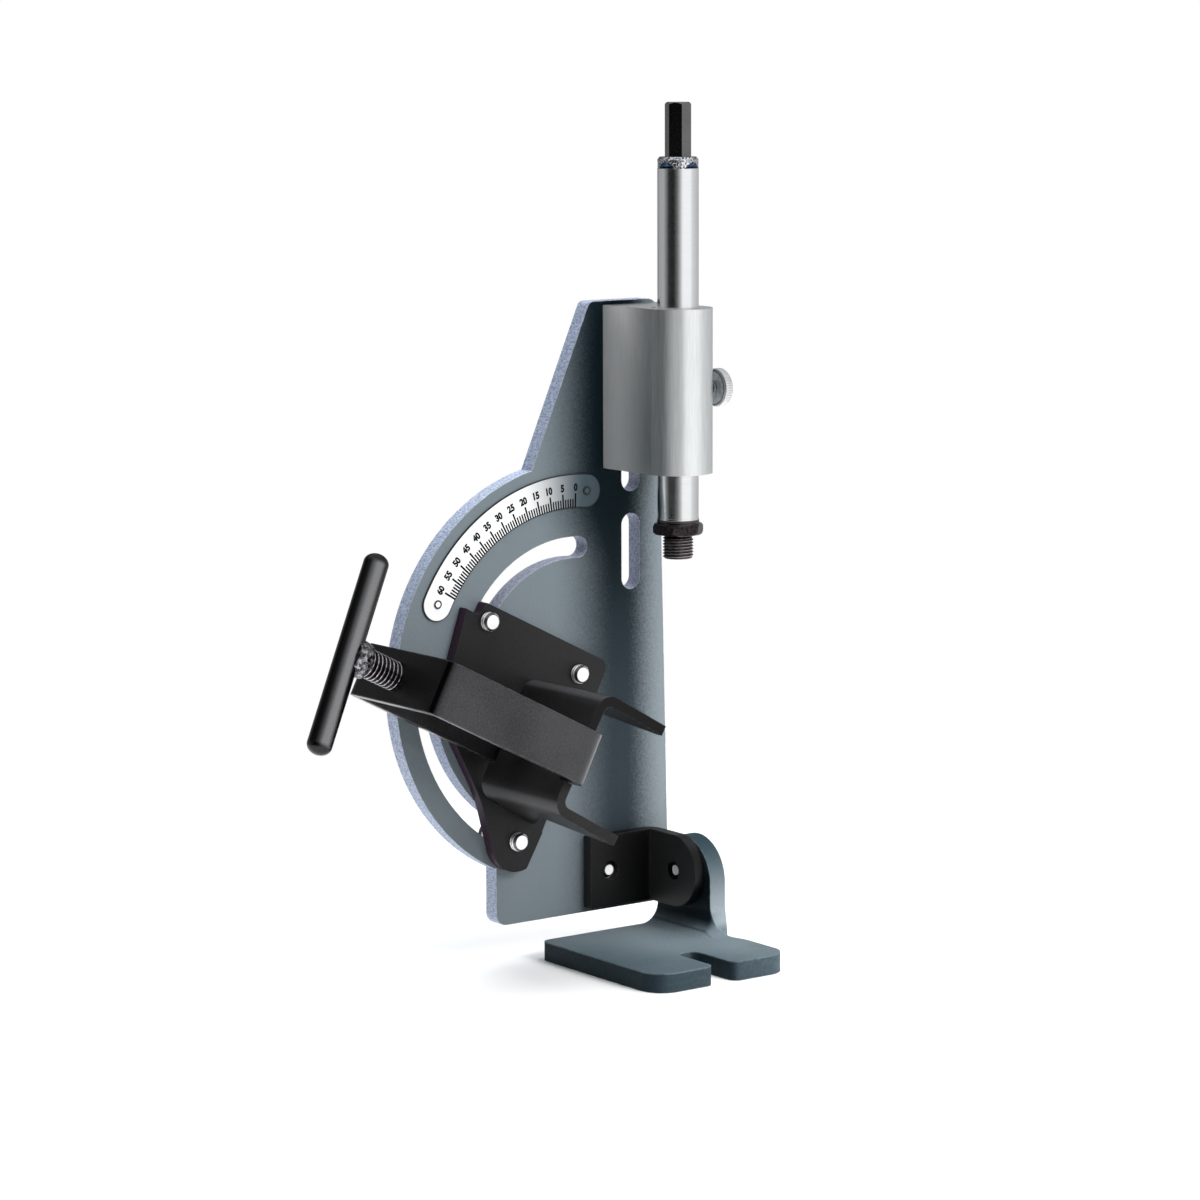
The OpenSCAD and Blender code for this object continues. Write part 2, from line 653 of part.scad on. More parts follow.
// Clamp plate: its index edge runs straight up from the pivot at a reading of zero
module clamp_outline() {
    // Shares of the index radius: the far end of the index side, and two points of the long side
    far_corner_shares = [-0.545, 0.885];
    side_high_shares = [-0.775, 0.67];
    side_low_shares = [-1.015, 0.3];
    lobe_side_share = 0.7;
    nose_inner_share = 0.59;
    rounded_outline(
        [[0, index_r], [far_corner_shares[0] * index_r, far_corner_shares[1] * index_r],
         [side_high_shares[0] * index_r, side_high_shares[1] * index_r],
         [side_low_shares[0] * index_r, side_low_shares[1] * index_r],
         outer_bolt + lobe_side_share * [-lobe_r, lobe_r],
         [outer_bolt[0], -clamp_side - clamp_side_taper], [clamp_nose, -clamp_side],
         [nose_inner_share * clamp_nose, index_r - index_step], [0, index_r - index_step]],
        [0, clamp_corner_r, 0, clamp_sweep_r, 0, 0, clamp_corner_r, index_fillet_r / 2, index_fillet_r]);
    intersection() {
        translate(outer_bolt) circle(lobe_r);
        translate([outer_bolt[0] - lobe_r, -clamp_side - clamp_side_taper]) square(2 * lobe_r);
    }
}

module clamp_bolt_places() for (p = [[0, inner_slot_r], outer_bolt]) translate([p[0], 0, p[1]]) children();

module clamp_plate() color([0.11, 0.11, 0.12]) at_clamp() difference() {
    upright(-slide_gap, clamp_t) clamp_outline();
    translate([0, cut, 0]) to_front() cylinder(d = bolt_d, h = clamp_face + 2 * cut);
    translate([0, cut, 0]) clamp_bolt_places() to_front() cylinder(d = bolt_d, h = clamp_face + 2 * cut);
}

module behind_plate() translate([0, plate_t + slide_gap + washer_t, 0]) to_front() children();
module clamp_bolt() behind_plate() bolt(washer_t + slide_gap + plate_t + clamp_face + bolt_tip);

module pivot_bolt() color([0.82, 0.82, 0.84]) at_clamp() clamp_bolt();
module angle_bolts() color([0.82, 0.82, 0.84]) at_clamp() clamp_bolt_places() clamp_bolt();
module clamp_washers() color([0.75, 0.75, 0.77]) at_clamp() {
    behind_plate() washer(washer_od, bolt_d, washer_t);
    clamp_bolt_places() behind_plate() washer(washer_od, bolt_d, washer_t);
}

// V jaw: a channel whose two sides are notched for the tube and tabbed to the clamp plate
module jaw_section() {
    near = -jaw_near;
    far = -jaw_near - jaw_len;
    tip = jaw_back - jaw_reach;
    inner_r = jaw_bend_r - jaw_t;
    rounded_outline(
        [[near, tip], [near, jaw_back], [far, jaw_back], [far, tip], [far + jaw_t, tip],
         [far + jaw_t, jaw_back - jaw_t], [near - jaw_t, jaw_back - jaw_t], [near - jaw_t, tip]],
        [0, jaw_bend_r, jaw_bend_r, 0, 0, inner_r, inner_r, 0]);
}

module v_jaw() color([0.12, 0.12, 0.13]) at_clamp() {
    tip = jaw_back - jaw_reach;
    difference() {
        union() {
            upright(-jaw_far, jaw_face - jaw_far) jaw_section();
            for (x = [-jaw_near - jaw_t, -jaw_near - jaw_len])
                translate([x, -jaw_far - jaw_t, tip]) cube([jaw_t, jaw_far + jaw_t - clamp_face, jaw_tab_len]);
        }
        // Where the strap runs, the web's edges step back from the inside of its bends
        for (y = [-jaw_far - jaw_relief, -jaw_face - cut])
            translate([strap_mid - strap_w / 2 - 2 * strap_gap, y, jaw_back - jaw_t - cut])
                cube([strap_w + 4 * strap_gap, jaw_relief + cut, jaw_t + 2 * cut]);
        translate([-jaw_near + cut, -spindle_to_plate, 0]) rotate([90, 0, -90]) linear_extrude(jaw_len + 2 * cut)
            polygon([[-vee_half_w, tip], [-vee_half_w, tip - cut], [vee_half_w, tip - cut], [vee_half_w, tip],
                     [0, tip + vee_depth]]);
    }
}

// The strap and its screw lean about the place where the screw bears on the jaw's web
module at_lean() at_clamp() translate([strap_mid, 0, jaw_back]) rotate([0, -strap_lean, 0])
    translate([-strap_mid, 0, -jaw_back]) children();

// Strap: a closed loop of flat bar round the jaw, with the screw tapped through one end
module strap_loop() difference() {
    rounded_outline(
        [[-strap_front, strap_low], [-strap_back, strap_low], [-strap_back, strap_high], [-strap_front, strap_high]],
        [strap_bend_r, strap_bend_r, strap_tight_r, strap_tight_r]);
    rounded_outline(
        [[-strap_front + strap_t, strap_low + strap_t], [-strap_back - strap_t, strap_low + strap_t],
         [-strap_back - strap_t, strap_high - strap_t], [-strap_front + strap_t, strap_high - strap_t]],
        [strap_bend_r - strap_t, strap_bend_r - strap_t, strap_tight_r - strap_t, strap_tight_r - strap_t]);
}

module strap() color([0.16, 0.16, 0.17]) at_lean() difference() {
    translate([strap_mid - strap_w / 2, 0, 0]) rotate([90, 0, 90]) linear_extrude(strap_w) strap_loop();
    translate([strap_mid, -spindle_to_plate, strap_high - strap_t - cut])
        cylinder(r = screw_d / 2 + running_gap, h = strap_t + 2 * cut);
}

// Clamp screw: its tip bears on the jaw's web, and a bar welded across its end turns it
module at_screw() at_lean() translate([strap_mid, -spindle_to_plate, 0]) children();

module clamp_screw() color([0.3, 0.3, 0.31]) at_screw() {
    tip = jaw_back + (slide_gap + (screw_d / 2 - screw_taper) * sin(strap_lean)) / cos(strap_lean);
    translate([0, 0, tip]) cylinder(d1 = screw_d - 2 * screw_taper, d2 = screw_d, h = screw_taper);
    translate([0, 0, tip + screw_taper]) cylinder(d = screw_d, h = handle_z - handle_d / 2 - weld_skin - tip - screw_taper);
}

// A bar's end profile, from its axis out to its side, as a quarter of an ellipse
function bar_end(radius, length, from) =
    [for (i = [0:arc_steps]) let (a = 90 * i / arc_steps) [radius * cos(a), from + length * sin(a)]];

module handle_bar() color([0.1, 0.1, 0.11]) at_screw()
    translate([0, 0, handle_z]) rotate([0, 0, handle_turn]) rotate([0, 90, 0]) {
        r = handle_d / 2;
        end = handle_end_share * r;
        straight = handle_len / 2 - end;
        rotate_extrude() polygon(concat([[0, -straight], [r, -straight]], bar_end(r, end, straight)));
        mirror([0, 0, 1]) rotate_extrude()
            polygon(concat([[0, straight / 2], [r, straight / 2]], bar_end(r, end, straight)));
    }

module handle_weld() color([0.62, 0.62, 0.63]) at_screw() difference() {
    translate([0, 0, handle_z - handle_d / 2 - weld_size])
        cylinder(d1 = screw_d + weld_size / 2, d2 = screw_d + weld_size, h = weld_size + handle_d / 4);
    translate([0, 0, handle_z - handle_d / 2 - weld_size - cut]) cylinder(d = screw_d, h = weld_size + cut - weld_skin);
    translate([0, 0, handle_z]) rotate([0, 0, handle_turn]) rotate([0, 90, 0])
        cylinder(d = handle_d, h = 2 * screw_d, center = true);
}

foot();
hinge_bracket();
hinge_bolt();
hinge_washer();
bracket_bolt();
bracket_washer();
mast_plate();
angle_scale();
scale_rivets();
bearing_block();
upper_bush();
lower_bush();
block_bolts();
block_washers();
thumb_screw();
thrust_washer();
spindle_shaft();
drive_shank();
arbor();
clamp_plate();
pivot_bolt();
angle_bolts();
clamp_washers();
v_jaw();
strap();
clamp_screw();
handle_bar();
handle_weld();
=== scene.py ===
"""Tube notcher: slotted mast plate, bearing block with spindle, swinging clamp and hinged foot.

Lengths are in metres in the scene and in millimetres in the named sizes. X runs along the
mast plate, Y to its back, Z up. The origin is on the spindle's axis, at the surface under the foot.
"""
import math

import bmesh
import bpy
import numpy as np
from mathutils import Matrix, Vector
from mathutils.geometry import tessellate_polygon


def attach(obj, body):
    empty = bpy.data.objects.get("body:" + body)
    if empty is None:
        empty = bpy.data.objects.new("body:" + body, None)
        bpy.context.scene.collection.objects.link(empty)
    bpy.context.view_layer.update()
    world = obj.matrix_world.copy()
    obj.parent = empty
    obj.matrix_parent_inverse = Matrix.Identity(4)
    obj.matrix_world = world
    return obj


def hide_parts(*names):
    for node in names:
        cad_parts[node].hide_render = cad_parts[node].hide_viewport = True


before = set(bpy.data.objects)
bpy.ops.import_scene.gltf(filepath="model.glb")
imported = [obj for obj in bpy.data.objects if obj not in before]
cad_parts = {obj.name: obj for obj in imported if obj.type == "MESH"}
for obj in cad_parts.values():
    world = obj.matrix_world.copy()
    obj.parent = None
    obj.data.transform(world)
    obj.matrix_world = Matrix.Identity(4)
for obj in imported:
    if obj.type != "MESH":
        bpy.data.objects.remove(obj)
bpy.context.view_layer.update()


# Foot: the plate that the tool stands on, with a slot open to the front. It is one 8 mm steel plate,
# bent up at one side into the ear that holds the hinge bolt. Its slate powder coat has an orange peel.
MM = 0.001
X = np.array([1.0, 0.0, 0.0])
Y = np.array([0.0, 1.0, 0.0])
Z = np.array([0.0, 0.0, 1.0])
FOOT_T = 8.0
FOOT_LEFT = -50.5
FOOT_FRONT = -51.0
FOOT_BACK = 28.5
CORNER_R = 10.5
MOUTH_R = 4.0
SLOT_X = -15.7
SLOT_R = 4.9
SLOT_END = -29.4
BEND_X = 2.6
BEND_R = 8.5
BEND_STEPS = 11
EAR_X = BEND_X + BEND_R
EAR_Y = -7.5
EAR_RISE = 13.0
EAR_TOP = 30.0
SWEEP_Y = -22.0
HINGE_Y = 11.2
HINGE_Z = 33.5
HINGE_HOLE_R = 4.05
SHARP_TURN = 38.0


class Net:
    """A material whose short calls each add one node and take either sockets or constants."""

    def __init__(self, name):
        self.mat = bpy.data.materials.new(name)
        self.mat.use_nodes = True
        self.tree = self.mat.node_tree
        self.bsdf = self.tree.nodes["Principled BSDF"]
        self.coords = self.tree.nodes.new("ShaderNodeTexCoord")

    def put(self, socket, value):
        """Links a socket or sets a constant."""
        if isinstance(value, bpy.types.NodeSocket):
            self.tree.links.new(value, socket)
        elif isinstance(value, tuple) and len(value) == 3 and socket.type == "RGBA":
            socket.default_value = (*value, 1.0)
        else:
            socket.default_value = value

    def math(self, op, a, b=0.0, clamp=False):
        """One sum of two values, by the name of its operation."""
        n = self.tree.nodes.new("ShaderNodeMath")
        n.operation = op
        n.use_clamp = clamp
        self.put(n.inputs[0], a)
        self.put(n.inputs[1], b)
        return n.outputs[0]

    def mix(self, f, a, b):
        """Colour a where the share f is nought, colour b where it is one."""
        n = self.tree.nodes.new("ShaderNodeMix")
        n.data_type = "RGBA"
        self.put(n.inputs[0], f)
        self.put(n.inputs[6], a)
        self.put(n.inputs[7], b)
        return n.outputs[2]

    def step(self, x, lo, hi, out_lo=0.0, out_hi=1.0):
        """A smooth step of x between two places, from out_lo to out_hi."""
        n = self.tree.nodes.new("ShaderNodeMapRange")
        n.interpolation_type = "SMOOTHSTEP"
        self.put(n.inputs["Value"], x)
        n.inputs["From Min"].default_value = lo
        n.inputs["From Max"].default_value = hi
        n.inputs["To Min"].default_value = out_lo
        n.inputs["To Max"].default_value = out_hi
        return n.outputs[0]

    def place(self, scale=(1, 1, 1), location=(0, 0, 0), rotation=(0, 0, 0)):
        """Object coordinates in metres, less a location, turned and scaled."""
        m = self.tree.nodes.new("ShaderNodeMapping")
        m.vector_type = "TEXTURE"
        self.tree.links.new(self.coords.outputs["Object"], m.inputs["Vector"])
        m.inputs["Location"].default_value = [v * MM for v in location]
        m.inputs["Rotation"].default_value = rotation
        m.inputs["Scale"].default_value = [1 / v for v in scale]
        return m.outputs[0]

    def noise(self, scale, detail=2.0, rough=0.5, vector=None):
        """Cloudy noise, with scale in cells for each metre."""
        n = self.tree.nodes.new("ShaderNodeTexNoise")
        self.put(n.inputs["Vector"], vector or self.coords.outputs["Object"])
        self.put(n.inputs["Scale"], scale)
        self.put(n.inputs["Detail"], detail)
        self.put(n.inputs["Roughness"], rough)
        return n.outputs[0]

    def xyz(self, vector):
        """The three parts of a place."""
        n = self.tree.nodes.new("ShaderNodeSeparateXYZ")
        self.put(n.inputs[0], vector)
        return n.outputs

    def length(self, vector):
        """The root of the sum of the squares of a place's parts."""
        n = self.tree.nodes.new("ShaderNodeVectorMath")
        n.operation = "LENGTH"
        self.put(n.inputs[0], vector)
        return n.outputs["Value"]

    def facing(self, direction):
        """How far the surface looks along a direction, from minus one to one."""
        n = self.tree.nodes.new("ShaderNodeVectorMath")
        n.operation = "DOT_PRODUCT"
        self.put(n.inputs[0], self.coords.outputs["Normal"])
        n.inputs[1].default_value = direction
        return n.outputs["Value"]

    def bevel(self, radius):
        """The normal of the shape with its edges rounded by a radius in millimetres."""
        n = self.tree.nodes.new("ShaderNodeBevel")
        n.samples = 4
        n.inputs["Radius"].default_value = radius * MM
        return n.outputs[0]

    def bump(self, height, depth, strength=1.0, normal=None):
        """A normal tilted by a height of so many millimetres."""
        n = self.tree.nodes.new("ShaderNodeBump")
        self.put(n.inputs["Height"], height)
        n.inputs["Distance"].default_value = depth * MM
        n.inputs["Strength"].default_value = strength
        if normal:
            self.put(n.inputs["Normal"], normal)
        return n.outputs[0]

    def edges(self, radius, lo=0.02, hi=0.2):
        """One along sharp edges: how far a rounded normal leaves the true one."""
        true = self.tree.nodes.new("ShaderNodeNewGeometry").outputs["Normal"]
        dot = self.tree.nodes.new("ShaderNodeVectorMath")
        dot.operation = "DOT_PRODUCT"
        self.put(dot.inputs[0], self.bevel(radius))
        self.put(dot.inputs[1], true)
        return self.step(self.math("SUBTRACT", 1.0, dot.outputs["Value"]), lo, hi)

    def finish(self, color, metallic, rough, normal=None, spec=0.5):
        """Sets the finish and gives the material."""
        values = {"Base Color": color, "Metallic": metallic, "Roughness": rough}
        values["Specular IOR Level"] = spec
        for key, value in values.items():
            if value is not None:
                self.put(self.bsdf.inputs[key], value)
        if normal:
            self.put(self.bsdf.inputs["Normal"], normal)
        return self.mat


def coated(name, dark, light, grain, rough, soft, rub_and_glint=None, rub_and_glint_share=0.6, tone=None, sheen=0.0,
           spec=0.5, size=1100.0):
    """Powder coat: colour from dark to light by six tenths slow noise and four tenths pebbles, then the
    piece's tones, most of them painted light and shade, then pale edges that are partly rubbed coat and
    partly painted highlight. The grain is the pebbles' height in millimetres."""
    n = Net(name)
    pebble = n.noise(size, 2.0)
    fine = n.noise(3600.0, 1.0)
    broad = n.noise(24.0, 3.0)
    mixed = n.math("ADD", n.math("MULTIPLY", broad, 0.6), n.math("MULTIPLY", pebble, 0.4))
    color = n.mix(n.step(mixed, 0.3, 0.7), dark, light)
    if tone:
        color = tone(n, color)
    # Pale edges: partly rubbed coat, partly painted highlight.
    if rub_and_glint:
        worn_and_glint = n.math("MULTIPLY", n.edges(soft, 0.01, 0.12), n.step(n.noise(300.0, 3.0), 0.3, 0.6))
        color = n.mix(n.math("MULTIPLY", worn_and_glint, rub_and_glint_share), color, rub_and_glint)
    height = n.math("ADD", pebble, n.math("MULTIPLY", fine, 0.35))
    gloss = n.math("ADD", n.math("MULTIPLY", pebble, 0.1), rough)
    return n.finish(color, sheen, gloss, n.bump(height, grain, 1.0, n.bevel(soft)), spec)


def foot_tone(n, color):
    """Painted light and shade: a painted highlight at the flat's middle, painted shade on the flat's cut
    sides and on the ear's inner face, a painted gradient on the ear's other sides that is paler towards the
    bend, and a thin dark line on the flat along the bend."""
    place = n.xyz(n.coords.outputs["Object"])
    n.put(n.bsdf.inputs["Specular IOR Level"], n.step(n.facing(Z), 0.2, 0.8, 0.06, 0.3))
    # Painted highlight on the middle of the flat
    centre = n.step(n.length(n.place((1, 1, 0.0001), (-8.0, -2.0, 0.0))), 0.045, 0.005)
    color = n.mix(n.math("MULTIPLY", centre, 0.75), color, (0.21, 0.26, 0.29))
    line = n.step(n.math("ABSOLUTE", n.math("SUBTRACT", place[0], 0.0083)), 0.0008, 0.0)
    line = n.math("MULTIPLY", line, n.step(place[1], -0.016, -0.006))
    color = n.mix(n.math("MULTIPLY", line, 0.6), color, (0.02, 0.03, 0.038))
    # Painted shade on the flat's cut sides that face left and front
    low = n.step(place[2], 0.0082, 0.0072)
    left = n.math("MULTIPLY", low, n.step(n.facing(-X), 0.3, 0.8))
    color = n.mix(n.math("MULTIPLY", left, 0.92), color, (0.009, 0.018, 0.024))
    front = n.math("MULTIPLY", low, n.step(n.facing(-Y), 0.3, 0.8))
    front = n.math("MULTIPLY", front, n.step(place[0], 0.02, -0.05, 0.45, 0.8))
    color = n.mix(front, color, (0.018, 0.030, 0.038))
    # Painted shade on the ear's inner face, darkest near the bend
    inner = n.math("MULTIPLY", n.step(place[2], 0.0085, 0.0150), n.step(n.facing(-X), 0.25, 0.75))
    shade = n.mix(n.step(place[2], 0.030, 0.046), (0.001, 0.006, 0.010), (0.030, 0.050, 0.062))
    color = n.mix(n.math("MULTIPLY", inner, 0.97), color, shade)
    # Painted light on the ear's other sides, paler towards the bend
    rim = n.math("MULTIPLY", n.step(place[2], 0.010, 0.014), n.step(n.facing(-X), 0.5, 0.2))
    shade = n.mix(n.step(place[2], 0.048, 0.012), (0.010, 0.030, 0.042), (0.30, 0.35, 0.38))
    return n.mix(rim, color, shade)


def bend_line(d, radius):
    """Places across the bend by length along its inner side: radius times the sine and the cosine of
    length over BEND_R, and past a quarter turn a straight that climbs by the length that is left."""
    t = np.minimum(d / BEND_R, math.pi / 2)
    up = np.maximum(0.0, d - BEND_R * math.pi / 2)
    return np.stack([BEND_X + radius * np.sin(t), FOOT_T + BEND_R - radius * np.cos(t) + up], -1)


def arc(cx, cy, r, first, last, n=12):
    """Places on a circle from one angle to another: centre plus r times the cosine and the sine."""
    return [(cx + r * math.cos(t), cy + r * math.sin(t)) for t in np.radians(np.linspace(first, last, n))]


def quads(rows_a, rows_b):
    """A strip of faces between two lines of places, one for each pair of neighbours."""
    n = len(rows_a)
    faces = [(i, i + 1, n + i + 1, n + i) for i in range(n - 1)]
    parts.append((np.array(list(rows_a) + list(rows_b)), faces))


def at_back(line):
    """A line of places moved to the foot's back edge."""
    return [(x, FOOT_BACK, z) for x, y, z in line]


def plate(outline, hole, spot, near, far, open_edges):
    """Two flat faces between an outline and a hole, at two levels that spot turns into places, and a
    wall between them along every edge but the open ones at the outline's start."""
    loops = [outline, hole] if hole else [outline]
    tris = tessellate_polygon([[Vector((a, b, 0.0)) for a, b in loop] for loop in loops])
    flat = [point for loop in loops for point in loop]
    for level in (near, far):
        parts.append((np.array([spot(a, b, level) for a, b in flat]), list(tris)))
    wall = outline[open_edges:] + outline[:1]
    quads([spot(a, b, near) for a, b in wall], [spot(a, b, far) for a, b in wall])
    if hole:
        ring = hole + hole[:1]
        quads([spot(a, b, near) for a, b in ring], [spot(a, b, far) for a, b in ring])


def joined(parts):
    """One list of places and one of faces, from several pairs."""
    verts = []
    faces = []
    n = 0
    for v, f in parts:
        verts.append(np.asarray(v, float))
        faces += [tuple(i + n for i in face) for face in f]
        n += len(v)
    return np.concatenate(verts), faces


def made(name, verts, faces, mat, body, smooth=SHARP_TURN, replaces=(), slot=None):
    """A piece from places in millimetres and faces. It rides a body and is smooth but for edges that
    turn by more than the given angle."""
    mesh = bpy.data.meshes.new(name)
    mesh.from_pydata((np.asarray(verts) * MM).tolist(), [], [tuple(f) for f in faces])
    mesh.validate()
    mesh.materials.append(mat)
    obj = bpy.data.objects.new(name, mesh)
    bpy.context.scene.collection.objects.link(obj)
    mesh.polygons.foreach_set("use_smooth", [True] * len(mesh.polygons))
    mesh.set_sharp_from_angle(angle=math.radians(smooth))
    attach(obj, body)
    if replaces:
        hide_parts(*replaces)
    return obj


slate_foot = coated("slate coat, foot", dark=(0.060, 0.092, 0.112), light=(0.130, 0.172, 0.196), grain=0.22,
                    rough=0.42, soft=0.9, rub_and_glint=(0.30, 0.36, 0.40), rub_and_glint_share=0.5, tone=foot_tone, spec=None,
                    size=750.0)
# The bend is a strip of rows along Y. In front of the ear its edge sweeps down by a quarter of an ellipse
# and turns by degrees into the edge of the flat.
reach = BEND_R * math.pi / 2
bend_share = reach / (reach + EAR_RISE - BEND_R)
steps = np.concatenate([np.linspace(0, bend_share, BEND_STEPS), np.linspace(bend_share, 1, 5)[1:]])
grids = {FOOT_T: [], 0.0: []}
for u in np.sin(np.linspace(0, math.pi / 2, 19)):
    rise = EAR_RISE * (1 - math.sqrt(max(0.0, 1 - u * u)))
    far = BEND_R * math.acos(1 - rise / BEND_R) if rise < BEND_R else reach + rise - BEND_R
    for level, radius in ((FOOT_T, BEND_R), (0.0, BEND_R + FOOT_T)):
        bent = bend_line(steps * far, radius)
        flat = np.stack([BEND_X + steps * (BEND_R + FOOT_T), np.full(len(steps), level)], -1)
        mixed = (1 - u * u) * flat + u * u * bent
        grids[level].append([(x, SWEEP_Y + u * (EAR_Y - SWEEP_Y), z) for x, z in mixed])
parts = []
for grid in grids.values():
    for near, far in zip(grid, grid[1:]):
        quads(near, far)
    quads(grid[-1][:BEND_STEPS], at_back(grid[-1][:BEND_STEPS]))
quads([row[-1] for row in grids[FOOT_T]], [row[-1] for row in grids[0.0]])
quads(at_back(grids[FOOT_T][-1][:BEND_STEPS]), at_back(grids[0.0][-1][:BEND_STEPS]))
# The ear: a plane with a round top and the hinge's hole, from the bend's end upwards
front = [(y, z) for x, y, z in grids[FOOT_T][-1][BEND_STEPS - 1:]]
top = arc((EAR_Y + FOOT_BACK) / 2, EAR_TOP, (FOOT_BACK - EAR_Y) / 2, 180, 0, 49)
hole = arc(HINGE_Y, HINGE_Z, HINGE_HOLE_R, 0, 352.5, 48)
plate([(FOOT_BACK, FOOT_T + BEND_R)] + front + top, hole, lambda a, b, level: (level, a, b), EAR_X,
      EAR_X + FOOT_T, len(front))
# The flat part, with the slot that opens to the front
seam = [(BEND_X, FOOT_BACK)] + [(BEND_X, row[0][1]) for row in grids[FOOT_T][::-1]]
edge = [(x, y) for x, y, z in grids[FOOT_T][0][1:]]
outline = seam + edge
outline += arc(EAR_X + FOOT_T - CORNER_R, FOOT_FRONT + CORNER_R, CORNER_R, 0, -90, 20)
outline += arc(SLOT_X + SLOT_R + MOUTH_R, FOOT_FRONT + MOUTH_R, MOUTH_R, 270, 180)
outline += arc(SLOT_X, SLOT_END, SLOT_R, 0, 180, 24)
outline += arc(SLOT_X - SLOT_R - MOUTH_R, FOOT_FRONT + MOUTH_R, MOUTH_R, 0, -90)
outline += arc(FOOT_LEFT + CORNER_R, FOOT_FRONT + CORNER_R, CORNER_R, 270, 180, 20)
outline += arc(FOOT_LEFT + MOUTH_R, FOOT_BACK - MOUTH_R, MOUTH_R, 180, 90)
plate(outline, None, lambda a, b, level: (a, b, level), FOOT_T, 0.0, len(seam) + len(edge) - 1)
foot = made("foot_bent", *joined(parts), slate_foot, "foot", replaces=("foot",), slot="powder_coat")
shell = bmesh.new()
shell.from_mesh(foot.data)
bmesh.ops.remove_doubles(shell, verts=shell.verts, dist=2e-6)
bmesh.ops.recalc_face_normals(shell, faces=shell.faces)
shell.to_mesh(foot.data)
shell.free()
foot.data.set_sharp_from_angle(angle=math.radians(SHARP_TURN))


# Hinge bracket: a piece of 5 mm steel angle, one leg bolted to the mast plate and the other to the foot's
# ear, so that the tool can tilt. Its coat is satin black, with painted shade that makes it blackest where
# it faces front and back, and painted light that makes its sides paler.
def dress(name, mat):
    """Gives a piece of the frame its finish."""
    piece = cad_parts[name]
    piece.data.materials.clear()
    piece.data.materials.append(mat)


def bracket_tone(n, color):
    """Painted shade, blackest on the front and back, and painted light, a little paler on the sides; dull at
    the bend.
    """
    bend = n.math("ABSOLUTE", n.math("MULTIPLY", n.facing(X), n.facing(Y)))
    n.put(n.bsdf.inputs["Specular IOR Level"], n.step(bend, 0.10, 0.35, 0.22, 0.03))
    # Painted shade on the front and back, painted light on the sides
    color = n.mix(n.step(n.math("ABSOLUTE", n.facing(Y)), 0.5, 0.9), color, (0.0015, 0.0015, 0.0016))
    return n.mix(n.step(n.math("ABSOLUTE", n.facing(X)), 0.5, 0.9), color, (0.021, 0.021, 0.022))


satin_bracket = coated("satin black, bracket", dark=(0.004, 0.004, 0.005), light=(0.009, 0.009, 0.010),
                       grain=0.04, rough=0.34, soft=0.7, rub_and_glint=(0.07, 0.07, 0.08), rub_and_glint_share=0.3,
                       tone=bracket_tone, spec=None)
dress("hinge_bracket", satin_bracket)


# Mast plate: the upright of 7.5 mm steel that carries the block, the scale and the clamp, with two
# straight slots and two curved ones. Its slate powder coat has painted light, paler to the left and in a
# strip on the right and darker towards the top, and its sawn rim is paler still, with streaks across it and
# a painted highlight along its front edge.
PIVOT = np.array([-31.0, 32.5, 119.0])


def plate_tone(n, color):
    """Painted light: pale left and right shares by X over a face with painted shade, darker towards the
    top; and on the rim a streaked pale cut that is darker inside the slots."""
    place = n.xyz(n.coords.outputs["Object"])
    pebble = n.noise(1100.0, 1.0)
    x = n.math("ADD", place[0], n.math("MULTIPLY", n.math("SUBTRACT", pebble, 0.5), 0.007))
    # Painted light to the left and right by X, painted shade between them and towards the top
    x_left = n.math("ADD", x, n.step(place[2], 0.160, 0.190, 0.0, 0.009))
    left = n.step(x_left, -0.008, -0.042)
    right = n.step(x, -0.002, 0.018)
    low = n.step(place[2], 0.195, 0.070)
    color = n.mix(low, (0.006, 0.013, 0.017), (0.020, 0.030, 0.037))
    color = n.mix(n.math("MULTIPLY", left, 0.85), color, (0.165, 0.20, 0.22))
    color = n.mix(n.math("MULTIPLY", right, 0.80), color, (0.24, 0.285, 0.31))
    light = n.math("MAXIMUM", left, right)
    gloss = n.math("ADD", n.math("MULTIPLY", low, 0.10), 0.025)
    gloss = n.math("ADD", n.math("MULTIPLY", light, 0.20), gloss)
    n.put(n.bsdf.inputs["Specular IOR Level"], gloss)
    rim = n.step(n.math("ABSOLUTE", n.facing(Y)), 0.75, 0.35)
    streak = n.noise(1500.0, 3.0, 0.7, n.place((1, 0.45, 1)))
    speck = n.noise(2600.0, 2.0, 0.7)
    cut = n.mix(n.step(n.math("MULTIPLY", n.math("ADD", streak, speck), 0.5), 0.38, 0.6),
                (0.17, 0.21, 0.32), (0.55, 0.63, 0.80))
    inner = n.step(n.length(n.place((1, 0.0001, 1), tuple(PIVOT * (1, 0, 1)))), 0.070, 0.066)
    inner = n.math("MAXIMUM", inner, n.step(place[0], -0.02, -0.018))
    slot = n.mix(n.step(speck, 0.4, 0.6), (0.10, 0.09, 0.12), (0.42, 0.44, 0.52))
    cut = n.mix(n.math("MULTIPLY", inner, 0.6), cut, slot)
    return n.mix(rim, color, cut)


slate_plate = coated("slate coat, mast plate", dark=(0.01, 0.02, 0.03), light=(0.04, 0.06, 0.07), grain=0.15,
                     rough=0.42, soft=0.4, rub_and_glint=(0.70, 0.76, 0.84), rub_and_glint_share=0.85, tone=plate_tone,
                     spec=None, size=750.0)
dress("mast_plate", slate_plate)


